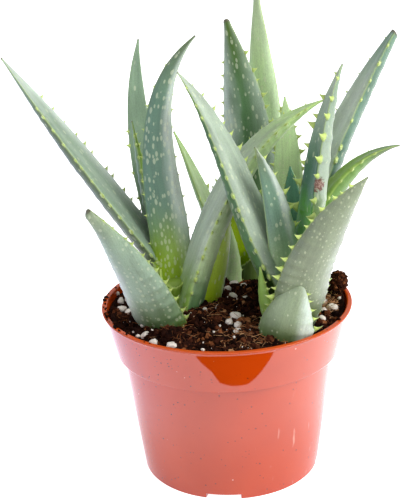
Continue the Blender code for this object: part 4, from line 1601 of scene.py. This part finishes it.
@dataclass
class SoilBed:
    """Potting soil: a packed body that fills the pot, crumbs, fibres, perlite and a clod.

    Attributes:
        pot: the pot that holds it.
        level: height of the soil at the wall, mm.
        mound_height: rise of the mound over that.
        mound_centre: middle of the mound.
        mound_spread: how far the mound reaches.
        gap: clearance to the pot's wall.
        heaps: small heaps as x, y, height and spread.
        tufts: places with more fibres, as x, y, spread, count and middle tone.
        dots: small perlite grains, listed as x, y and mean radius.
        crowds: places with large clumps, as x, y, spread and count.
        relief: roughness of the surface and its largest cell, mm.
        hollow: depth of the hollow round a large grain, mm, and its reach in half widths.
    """

    pot: NurseryPot
    level: float = 80.5
    mound_height: float = 5.5
    mound_centre: Pair = (-6.0, -8.0)
    mound_spread: float = 24.0
    gap: float = 0.3
    heaps: tuple = ((-24.5, -39, 3.4, 4.6), (10, -40, 1.8, 6), (-9, -19, 1.6, 7), (-50, -14, 1, 5),
                    (44, 22, 1.5, 6), (-12, 40, 1.6, 8), (57, 0, 3.4, 4.5), (54, 10, 3, 5),
                    (46.5, -10, -2.2, 5))
    tufts: tuple = ((-10, -15, 7.5, 300, 0.76), (10, -43, 7, 260, 0.84), (-24.5, -39, 4, 110, 0.72),
                    (50.5, -3, 5, 620, 0.9), (-50, -12, 5, 50, 0.6), (0, 5, 28, 160, 0.6),
                    (-5, 40, 12, 60, 0.7), (22, -46, 6, 60, 0.75))
    dots: tuple = ((-53.7, 18.3, 1), (-51.6, 9.8, 1.1), (-48.5, 7.7, 0.9), (-39.1, -25.6, 1.1),
                   (-41, -34.3, 1), (-11.2, -52.4, 0.9), (-19.5, -24, 1), (-10.2, -19.2, 1.1),
                   (-4.2, -18.7, 1.2), (44.9, 7.5, 1.3), (54, -1.5, 0.9), (41, 2, 1.1),
                   (42.5, -4, 0.9), (39.5, -12, 1.2))
    crowds: tuple = ((-8, -17, 6.5, 44), (-24.5, -39, 3.2, 26), (49, 11, 3.5, 18), (12, -44, 6, 14),
                     (-46, -12, 4.5, 20))
    relief: Pair = (1.5, 7.0)
    hollow: Pair = (0.9, 1.3)

    def __post_init__(self) -> None:
        """Reads where the large grains lie."""
        names = [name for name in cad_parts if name.startswith("perlite")]
        corners = np.array([[list(c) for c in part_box(name)] for name in sorted(names)]) / MM
        self.grain_names = sorted(names)
        self.grain_middle = corners.mean(axis=1)
        self.grain_half = (corners[:, 1] - corners[:, 0]) / 2

    def height(self, x: Array, y: Array) -> Array:
        """Height of the soil: a level edge, a bell-shaped mound, sine lumps and heaps.

        Args:
            x: places, mm.
            y: places, mm.

        Returns:
            Heights, mm.
        """
        away = (x - self.mound_centre[0]) ** 2 + (y - self.mound_centre[1]) ** 2
        mound = self.mound_height * np.exp(-away / (2 * self.mound_spread**2))
        top = self.level + mound + 0.5 * np.sin(0.31 * x + 1.3) * np.cos(0.27 * y - 0.4)
        for hx, hy, rise, spread in self.heaps:
            top = top + rise * np.exp(-((x - hx) ** 2 + (y - hy) ** 2) / (2 * spread**2))
        return top

    def surface(self, x: Array, y: Array) -> Array:
        """The height with rough noise, lowered a little around each large grain.

        Args:
            x: places, mm.
            y: places, mm.

        Returns:
            Heights, mm.
        """
        (amount, cell), (sunk, reach) = self.relief, self.hollow
        rough = rough_noise(pack(x, y, 0.0), cell, 4, Seed.GROUND)
        wall = np.clip((54.5 - np.hypot(x, y)) / 4, 0, 1)
        top = self.height(x, y) + amount * rough * wall
        for middle, half in zip(self.grain_middle, self.grain_half):
            away = ((x - middle[0]) ** 2 + (y - middle[1]) ** 2) / (reach * half[0]) ** 2
            top = top - sunk * np.exp(-away)
        return top

    def body(self) -> Shell:
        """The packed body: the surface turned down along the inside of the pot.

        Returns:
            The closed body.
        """
        pot, around = self.pot, 260
        angle = circle(around)
        edge = pot.lip_inner - self.gap - 0.9
        radii = edge * np.linspace(0.012, 1, 76) ** 0.92
        x, y = radii[:, None] * np.cos(angle), radii[:, None] * np.sin(angle)
        top = pack(x, y, self.surface(x, y))
        ledge = pot.height - pot.collar_depth + pot.wall + self.gap
        below = rounded([
            (edge, self.level - 1.0, 0.0),
            (pot.collar_foot - pot.wall - self.gap, ledge, 0.5),
            (pot.body_top - pot.wall - self.gap - 0.05, ledge, 0.5),
            (pot.body_foot - pot.wall - self.gap, pot.floor_top + self.gap, 1.0),
            (0.5, pot.floor_top + self.gap, 0.0),
        ], 3)
        low = polar(below[:, :1], angle, below[:, 1:])
        poles = np.array([[0, 0, float(self.surface(np.zeros(1), np.zeros(1))[0])],
                          [0, 0, pot.floor_top + self.gap]])
        return close_rings(np.concatenate([top, low])[None], poles[None]).outward()

    def off_grains(self, spot: Array, reach: float) -> Array:
        """Tells which places lie further from each large grain than reach times its half width."""
        away = np.linalg.norm(spot[:, None] - self.grain_middle[None, :, :2], axis=-1)
        return (away > reach * self.grain_half[None, :, 0]).all(axis=1)

    def rested(self, spot: Array, rise: Array | float = 0.0) -> Array:
        """Lifts places onto the surface and the rise above it."""
        return np.column_stack([spot, self.surface(*spot.T) + rise])

    def strewn(self, rng: np.random.Generator, count: int, reach: float = 54.2) -> Array:
        """Random places on the surface, none of them on a large grain.

        Args:
            rng: source of the places.
            count: how many are thrown.
            reach: how far from the axis, mm.

        Returns:
            Points on the surface.
        """
        angle = rng.uniform(0, math.tau, count)
        radius = reach * np.sqrt(rng.random(count))
        spot = polar(radius, angle, 0.0)[:, :2]
        return self.rested(spot[self.off_grains(spot, 0.95)])

    def crumbs(self, count: int, small: float, large: float, seed: int, rise: float) -> Shell:
        """Crumbs strewn over the whole surface.

        Args:
            count: how many are thrown.
            small: smallest mean radius, mm.
            large: largest mean radius; large crumbs are rarer.
            seed: picks the places.
            rise: height of a crumb's middle over the surface, as a share of its radius.

        Returns:
            One shell.
        """
        rng = np.random.default_rng(seed)
        places = self.strewn(rng, count)
        size = small + (large - small) * rng.random(len(places)) ** 2.2
        places[:, 2] += rise * size
        axes = size[:, None] * rng.uniform(0.6, 1.3, (len(places), 3))
        tones = np.clip(rng.normal(0.30, 0.24, len(places)), 0, 0.85)
        return lumps(places, axes, tones, rng)

    def spilled(self) -> Shell:
        """Crumbs on the lip, most of them on its left side, and a few on the collar's ledge.

        Returns:
            One shell.
        """
        rng = np.random.default_rng(Seed.SPILLED)
        angle = np.radians(np.concatenate([rng.normal(196, 13, 46), rng.uniform(0, 360, 14)]))
        radius = rng.uniform(57.0, 59.4, angle.size)
        size = 0.25 + 0.75 * rng.random(angle.size) ** 2
        places = polar(radius, angle, self.pot.height + 0.35 * size)
        axes = size[:, None] * rng.uniform(0.6, 1.2, (angle.size, 3))
        return lumps(places, axes, np.clip(rng.normal(0.3, 0.12, angle.size), 0, 1), rng)

    def chips(self) -> Shell:
        """Flat bark chips, half sunk.

        Returns:
            One shell.
        """
        rng = np.random.default_rng(Seed.CHIPS)
        places = self.strewn(rng, 90, 52.0)
        count = len(places)
        size = rng.uniform(1.2, 2.6, count)
        axes = size[:, None] * (1.4, 0.8, 0.28)
        return lumps(places, axes, rng.uniform(0.15, 0.62, count), rng, 5, 6, 0.2)

    def clumps(self) -> Shell:
        """Large clumps that crowd the crest of the mound and two spots at the wall.

        Returns:
            One shell.
        """
        rng = np.random.default_rng(Seed.CLUMPS)
        spot = np.concatenate([rng.normal((x, y), spread, (count, 2))
                               for x, y, spread, count in self.crowds])
        spot = spot[self.off_grains(spot, 1.2) & (np.hypot(*spot.T) < 52.5)]
        size = rng.uniform(1.0, 2.2, len(spot))
        places = self.rested(spot, 0.25 * size)
        axes = size[:, None] * rng.uniform(0.7, 1.2, (len(spot), 3))
        return lumps(places, axes, rng.uniform(0.08, 0.5, len(spot)), rng, 7, 9, 0.28)

    def fibres(self) -> Shell:
        """Loose fibres in tufts.

        Returns:
            One shell.
        """
        rng = np.random.default_rng(Seed.FIBRES)
        blocks = []
        for x, y, spread, count, tone in self.tufts:
            spot = rng.normal((x, y), spread, (count, 2))
            spot = spot[np.hypot(*spot.T) < 53.5]
            tones = rng.normal(tone, 0.12, len(spot))
            blocks.append(np.column_stack([self.rested(spot, 0.4), tones]))
        rows = np.concatenate(blocks)
        count = len(rows)
        length = 2.0 + 6.0 * rng.random(count) ** 2
        heading = rng.uniform(0, math.tau, count)
        end = rows[:, :3] + polar(length, heading, 0.0)
        heading = np.where(np.hypot(*end[:, :2].T) > 54.0, heading + math.pi, heading)
        return strands(rows[:, :3], heading, rng.uniform(-0.05, 0.45, count), length,
                       rng.uniform(0.09, 0.21, count), np.clip(rows[:, 3], 0.3, 1), rng)

    def grit(self) -> Shell:
        """Small perlite: listed grains and a fine scatter that is thicker on the left.

        Returns:
            One shell.
        """
        rng = np.random.default_rng(Seed.GRIT)
        fixed = np.array(self.dots)
        loose = self.strewn(rng, 430)[:, :2]
        keep = rng.random(len(loose)) < np.clip(0.45 - loose[:, 0] / 90, 0.1, 1)
        spot = np.concatenate([fixed[:, :2], loose[keep]])
        size = np.concatenate([fixed[:, 2],
                               0.22 + 0.62 * rng.random(int(keep.sum())) ** 2.5])
        places = self.rested(spot, 0.45 * size + 0.25)
        axes = size[:, None] * rng.uniform(0.75, 1.2, (len(spot), 3))
        return lumps(places, axes, rng.random(len(spot)), rng, 5, 7, 0.15)

    def boulders(self, middle: Array, half: Array, rough: float, cell: float,
                 seed: int) -> Shell:
        """Large lumps: unit spheres pushed in and out by rough noise, scaled to their boxes.

        Args:
            middle: centres in mm, one row each.
            half: half sizes in mm, one row each.
            rough: depth of the relief as a share of the radius.
            cell: size of the largest hollow as a share of the radius.
            seed: picks the relief.

        Returns:
            One shell.
        """
        rows, around = 22, 32
        sphere = ball(rows, around)
        shift = 10.0 * np.arange(len(middle))[:, None, None]
        grow = 1 + rough * rough_noise(sphere + shift, cell, 3, seed)
        grown = sphere * grow[..., None] * half[:, None] + middle[:, None]
        return wrap(grown, rows, np.arange(len(middle)) % 7 / 7)

    def build(self) -> None:
        """Makes the packed soil and everything that lies on it."""
        packed = DampSoil("packed_soil", False).material()
        loose = DampSoil("loose_soil", True).material()
        chalk = PerliteChalk().material()
        place_piece(make_object("soil_body", self.body()), packed, "soil", "soil")
        for name, shell in (
                ("soil_crumbs_coarse", self.crumbs(1700, 0.7, 2.0, Seed.COARSE_CRUMBS, 0.1)),
                ("soil_crumbs_fine", self.crumbs(5600, 0.22, 0.75, Seed.FINE_CRUMBS, 0.35)),
                ("soil_clumps", self.clumps()),
                ("soil_chips", self.chips()),
                ("soil_spilled", self.spilled()),
                ("soil_fibres", self.fibres())):
            place_piece(make_object(name, shell, False), loose, "soil")
        place_piece(make_object("perlite_grit", self.grit(), False), chalk, "perlite")
        grains = self.boulders(self.grain_middle, self.grain_half, 0.16, 0.8, Seed.GRAINS)
        place_piece(make_object("perlite_grains", grains), chalk, "perlite", *self.grain_names)
        self.build_clod(loose)

    def build_clod(self, loose: Material) -> None:
        """Makes the large clod at the rear edge, with crumbs and fibres clinging to it.

        Args:
            loose: material of loose soil.
        """
        low, high = (np.array(corner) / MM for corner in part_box("clod"))
        middle, half = (low + high) / 2, (high - low) / 2
        core = self.boulders(middle[None], half[None] * 0.95, 0.16, 0.7, Seed.CLOD)
        core.values["tone"] = core.values["tone"] + 0.42
        rng = np.random.default_rng(Seed.CLOD_CRUMBS)
        way = unit(rng.normal(size=(420, 3)))
        size = 0.25 + 0.7 * rng.random(420) ** 2
        tones = np.clip(rng.normal(0.42, 0.13, 420), 0, 1)
        stuck = lumps(middle + way * half * 0.95, size[:, None] * np.ones(3), tones, rng)
        hair = unit(rng.normal(size=(70, 3)))
        fibres = strands(middle + hair * half * 0.9, rng.uniform(0, math.tau, 70),
                         rng.uniform(-0.4, 0.4, 70), rng.uniform(1.5, 3.5, 70),
                         np.full(70, 0.12), np.full(70, 0.68), rng)
        place_piece(make_object("soil_clod", join([core, stuck, fibres]), False), loose, "soil",
                    "clod")


# --- stems ---
@dataclass
class SheathedStem:
    """A short stem wrapped in the clasping bases of its leaves.

    Attributes:
        node: the CAD node that it stands for.
        centre: axis, x and y in mm.
        foot: height of its lower end.
        top: height of its upper end.
        radii: radius at the foot and under the top.
        seed: picks the turns of the sheaths.
        sheaths: number of clasping bases.
    """

    node: str
    centre: Pair
    foot: float
    top: float
    radii: Pair
    seed: int
    sheaths: int = 6

    def shell(self) -> Shell:
        """A tapered core; each sheath thickens it below a rim that swings up on one side.

        Returns:
            The closed stem.
        """
        rows, around = 120, 96
        rng = np.random.default_rng(self.seed)
        climb = np.linspace(0.0, 1.0, rows)[:, None]
        angle = circle(around)[None, :]
        height = self.foot + (self.top - self.foot) * climb + 0 * angle
        wide, slim = self.radii
        core = (wide + (slim - wide) * np.clip(climb * 1.15, 0, 1)) * 0.9
        dome = np.sqrt(np.clip(1 - np.clip((climb - 0.88) / 0.12, 0, 1) ** 2, 0, 1))
        radius = core * (0.25 + 0.75 * dome)
        rim = 0 * height
        low, high = self.foot + 12, self.top - 4
        for index in range(self.sheaths):
            middle = low + (high - low) * index / (self.sheaths - 1)
            swing = rng.uniform(2.0, 4.0)
            edge = middle + swing * np.cos(angle - rng.uniform(0, math.tau))
            below = np.clip((edge - height) / 0.6, 0, 1)
            radius = radius + 0.42 * below * (3 - 2 * below) * below
            rim = np.maximum(rim, np.exp(-(((edge - height) - 0.5) / 0.7) ** 2))
        x, y = self.centre
        rings = polar(radius, angle, height) + np.array([x, y, 0.0])
        poles = np.array([[x, y, self.foot], [x, y, self.top + 0.1]])
        values = {"rim": rim[None], "climb": climb[None]}
        return close_rings(rings[None], poles[None], values).outward()

    def build(self, material: Material) -> None:
        """Makes the stem in place of its CAD node."""
        obj = make_object(self.node + "_sheaths", self.shell())
        place_piece(obj, material, "stem", self.node)


@dataclass
class ClaspingSheath:
    """An open sheath at the foot of a leaf: a thin cup whose rim dips on one side.

    Attributes:
        name: name of its object.
        centre: axis at the foot, x and y in mm.
        lean: shift of the axis from foot to rim, x and y.
        foot: height of its lower end.
        top: height of the rim where it is highest.
        dip: how far the rim sinks on its low side.
        dip_turn: azimuth of the low side, degrees.
        radii: radius at the foot and at the rim.
        shade: brightness of the outer wall, 0 for dark and 1 for fresh green.
    """

    name: str
    centre: Pair
    lean: Pair
    foot: float
    top: float
    dip: float
    dip_turn: float
    radii: Pair
    shade: float

    def shell(self) -> Shell:
        """Outer wall from foot to rim, a rounded rim, and the inner wall back down.

        The rim stands at top - dip * (1 + cos(turn - dip_turn)) / 2, and small bell
        curves raise it to a row of soft teeth.

        Returns:
            The closed sheath.
        """
        around, wall = 96, 0.9
        turn = circle(around)[None, :]
        climb = np.concatenate([np.linspace(0, 1, 14), [1.0, 0.985], np.linspace(0.95, 0.1, 12)])
        inset = np.concatenate([np.zeros(14), [0.45, 0.9], np.full(12, 1.0)])
        rim = self.top - self.dip * (1 + np.cos(turn - math.radians(self.dip_turn))) / 2
        rim = rim + 0.5 * np.clip(np.cos(23 * turn), 0, 1) ** 3
        height = self.foot + (rim - self.foot) * climb[:, None]
        first, last = self.radii
        bowl = first + (last - first) * climb**1.5
        radius = bowl[:, None] - (wall * inset)[:, None]
        axis = np.array([*self.centre, 0.0]) + climb[:, None, None] * np.array([*self.lean, 0.0])
        rings = polar(radius, turn, height) + axis
        low, high = rings[0].mean(axis=0), rings[-1].mean(axis=0)
        edge = np.clip(1 - (rim - height) / 1.1, 0, 1)
        climbs = np.where(inset[:, None] > 0.95, 1.0, 0.35 + 0.4 * self.shade)
        return close_rings(rings[None], np.array([[low, high]]),
                           {"rim": edge[None], "climb": climbs[None]}).outward()

    def build(self, material: Material) -> None:
        """Makes the sheath at its place."""
        place_piece(make_object(self.name, self.shell()), material, "stem")


@dataclass(frozen=True)
class SheathFlesh:
    """Fresh yellow-green tissue with pale thin rims, darker towards the soil.

    Attributes:
        low: pigment towards the soil.
        high: pigment of the fresh part.
        vein: pigment of the veins.
        rim: pigment of the rims.
        veins: scale of the veins along each axis, per metre.
        relief: height of the veins, metres.
    """

    low: Green = Green.MOSS
    high: Green = Green.LIME
    vein: Green = Green.FRESH
    rim: Green = Green.MARGIN
    veins: Triple = (1400.0, 1400.0, 90.0)
    relief: float = 0.0002

    def material(self) -> Material:
        """Blends the pigments by the height on the stem, the veins and the rims.

        Returns:
            The material.
        """
        material, w, shader = new_material("sheath_flesh")
        vein = w.noise(w.stretch(w.place(), self.veins), 1.0, 2.0)
        body = w.mix(w.fade(w.number("climb"), 0.35, 0.75), self.low.value, self.high.value)
        veined = w.mix(w.math("MULTIPLY", vein, 0.35), body, self.vein.value)
        edge = w.math("MULTIPLY", w.number("rim"), 0.8)
        w.dress(shader, {
            "Base Color": w.mix(edge, veined, self.rim.value),
            "Roughness": w.math("MULTIPLY_ADD", vein, 0.2, 0.35),
            "Normal": w.bump(vein, 0.3, self.relief),
            "Subsurface Weight": 0.15, "Subsurface Radius": (0.6, 1.0, 0.2),
            "Subsurface Scale": 0.002})
        return material


# --- studio ---
PLANT_MIDDLE = (0.0, 0.0, 0.1)
BLACK_CARD = ((-8.2, -75.6, 40), (2.3, -74.1, 40), (16.1, -72.8, 40), (48.6, -77.8, 40),
              (56, -96, 40), (-44, -96, 40), (-34.6, -84.4, 40), (-16.4, -80.8, 40))


@dataclass(frozen=True)
class Softbox:
    """A rectangular lamp that faces the plant.

    Attributes:
        name: name of the lamp.
        place: where it stands, metres.
        size: its width and height, metres.
        power: its power, W.
        colour: its colour.
    """

    name: str
    place: Triple
    size: Pair
    power: float
    colour: Colour

    def build(self) -> None:
        """Adds the lamp, turned towards the middle of the plant."""
        data = bpy.data.lights.new(self.name, "AREA")
        data.shape, (data.size, data.size_y) = "RECTANGLE", self.size
        data.energy, data.color = self.power, self.colour
        lamp = bpy.data.objects.new(self.name, data)
        lamp.location = self.place
        away = Vector(self.place) - Vector(PLANT_MIDDLE)
        lamp.rotation_euler = away.to_track_quat("Z", "Y").to_euler()
        bpy.context.scene.collection.objects.link(lamp)


@dataclass
class Studio:
    """White sweep, soft lights and the camera.

    Attributes:
        eye: place of the camera, metres.
        turn: turn of the camera about the vertical, degrees.
        dip: angle by which it looks down, degrees.
        roll: turn about its own line of sight, degrees.
        lens: focal length, mm.
        glow: light that the white table gives off by itself.
        cool_gloss: colour of the table in mirrors, on the left.
        warm_gloss: the same in front of the pot.
        right_gloss: the same on the right.
        sky: strength of the white surround as a lamp.
        lamps: the soft lamps.
    """

    eye: Triple = (0.0, -0.56486, 0.32161)
    turn: float = 1.1435
    dip: float = 20.5253
    roll: float = -2.322
    lens: float = 91.71
    glow: float = 0.2
    cool_gloss: Colour = (0.8, 0.95, 1.7)
    warm_gloss: Colour = (1.25, 1.1, 1.25)
    right_gloss: Colour = (1.7, 1.65, 1.75)
    sky: float = 0.55
    lamps: tuple[Softbox, ...] = (
        Softbox("key", (1.0, -0.45, 0.75), (0.6, 0.6), 14.0, (1.0, 0.985, 0.96)),
        Softbox("fill", (-0.9, -0.5, 0.6), (0.6, 0.9), 2.5, (0.86, 0.86, 1.0)))

    def camera(self) -> None:
        """Sets up the camera."""
        data = bpy.data.cameras.new("camera")
        data.lens = self.lens
        data.clip_start, data.clip_end = 0.01, 20.0
        camera = bpy.data.objects.new("camera", data)
        turn = Matrix.Rotation(math.radians(self.turn), 4, "Z")
        dip = Matrix.Rotation(math.radians(90 - self.dip), 4, "X")
        roll = Matrix.Rotation(math.radians(self.roll), 4, "Z")
        camera.matrix_world = Matrix.Translation(self.eye) @ turn @ dip @ roll
        bpy.context.scene.collection.objects.link(camera)
        bpy.context.scene.camera = camera

    def card(self, name: str, corners: tuple) -> Object:
        """Adds a flat card with these corners in mm.

        Args:
            name: name of the object.
            corners: its corners, mm.

        Returns:
            The card.
        """
        order = np.arange(len(corners))[None]
        card = make_object(name, Shell(np.array(corners, dtype=float), [order]), False)
        return card

    def sweep(self) -> None:
        """The white floor, and a black card that only mirrors see."""
        far = 8000.0
        floor = self.card("floor", ((-far, -far, 0), (far, -far, 0), (far, far, 0), (-far, far, 0)))
        material, w, shader = new_material("white_paper")
        path = w.add("ShaderNodeLightPath").outputs
        aside = w.add("ShaderNodeSeparateXYZ", {0: w.place()}).outputs[0]
        mirrored = w.mix(w.fade(aside, -0.25, -0.03), self.cool_gloss, self.warm_gloss)
        mirrored = w.mix(w.fade(aside, 0.03, 0.16), mirrored, self.right_gloss)
        # Painted shadow: seen in mirrors, the table goes half dark close to the pot, for the shadow
        # round its foot.
        away = w.add("ShaderNodeVectorMath", {0: w.place()}, operation="LENGTH").outputs["Value"]
        mirrored = w.mix(w.fade(away, 0.05, 0.10, 0.5, 0.0), mirrored, (0.0, 0.0, 0.0))
        seen = w.mix(path["Is Glossy Ray"], (self.glow, self.glow, self.glow), mirrored)
        w.dress(shader, {
            "Base Color": w.mix(w.noise(w.place(), 3.0), (0.93, 0.93, 0.94), (0.95, 0.95, 0.96)),
            "Emission Color": w.mix(path["Is Camera Ray"], seen, (1.0, 1.0, 1.0)),
            "Roughness": 0.9, "Specular IOR Level": 0.2, "Emission Strength": 1.0})
        floor.data.materials.append(material)
        card = self.card("black_card", BLACK_CARD)
        black, w, shader = new_material("black_card")
        w.dress(shader, {"Base Color": (0.0, 0.0, 0.0), "Specular IOR Level": 0.0, "Roughness": 1.0})
        card.data.materials.append(black)
        card.visible_camera = card.visible_diffuse = card.visible_shadow = False
        card.visible_transmission = False

    def build(self) -> None:
        """Sets up the sweep, the light and the camera."""
        scene = bpy.context.scene
        scene.view_settings.view_transform = "Standard"
        world = bpy.data.worlds.new("studio")
        world.use_nodes = True
        wiring = Wiring(world.node_tree)
        sky = world.node_tree.nodes["Background"]
        path = wiring.add("ShaderNodeLightPath").outputs
        plain = wiring.math("MAXIMUM", path["Is Camera Ray"], path["Is Glossy Ray"])
        strength = wiring.math("MULTIPLY_ADD", plain, 1.0 - self.sky, self.sky)
        wiring.dress(sky, {"Color": (1.0, 1.0, 1.0), "Strength": strength})
        scene.world = world
        self.sweep()
        for lamp in self.lamps:
            lamp.build()
        self.camera()


def main() -> None:
    """Builds the plant from the pot upwards, then the studio around it."""
    logging.basicConfig(level=logging.INFO, format="%(name)s: %(message)s")
    groups = {"streaks": streaks(), "pale_spots": pale_spots(), "specks": specks()}
    pot = NurseryPot()
    pot.build(groups)
    SoilBed(pot).build()
    flesh = SheathFlesh().material()
    for stem in (SheathedStem("stem_left", (-24.0, -6.0), 66.0, 99.0, (10.5, 7.0), 1),
                 SheathedStem("stem_back", (12.0, 36.5), 66.0, 86.0, (9.5, 6.0), 2),
                 SheathedStem("stem_right", (29.5, -14.0), 66.0, 101.0, (11.0, 7.5), 3)):
        stem.build(flesh)
    for sheath in (ClaspingSheath("sheath_left", (-25.0, -8.5), (0.0, 0.0), 88.0, 106.5, 9.5,
                                  -75.0, (4.5, 6.0), 1.0),
                   ClaspingSheath("sheath_back", (12.0, 34.5), (0.5, -0.5), 76.0, 101.0, 12.0,
                                  -170.0, (5.5, 6.4), 0.1)):
        sheath.build(flesh)
    for seed, name, leaves in ((Seed.LEFT_LEAVES, "left rosette", LEFT_LEAVES),
                               (Seed.BACK_LEAVES, "back rosette", BACK_LEAVES),
                               (Seed.RIGHT_LEAVES, "right rosette", RIGHT_LEAVES)):
        Rosette(name, leaves, groups, seed).build()
    Studio().build()


if __name__ == "__main__":
    main()
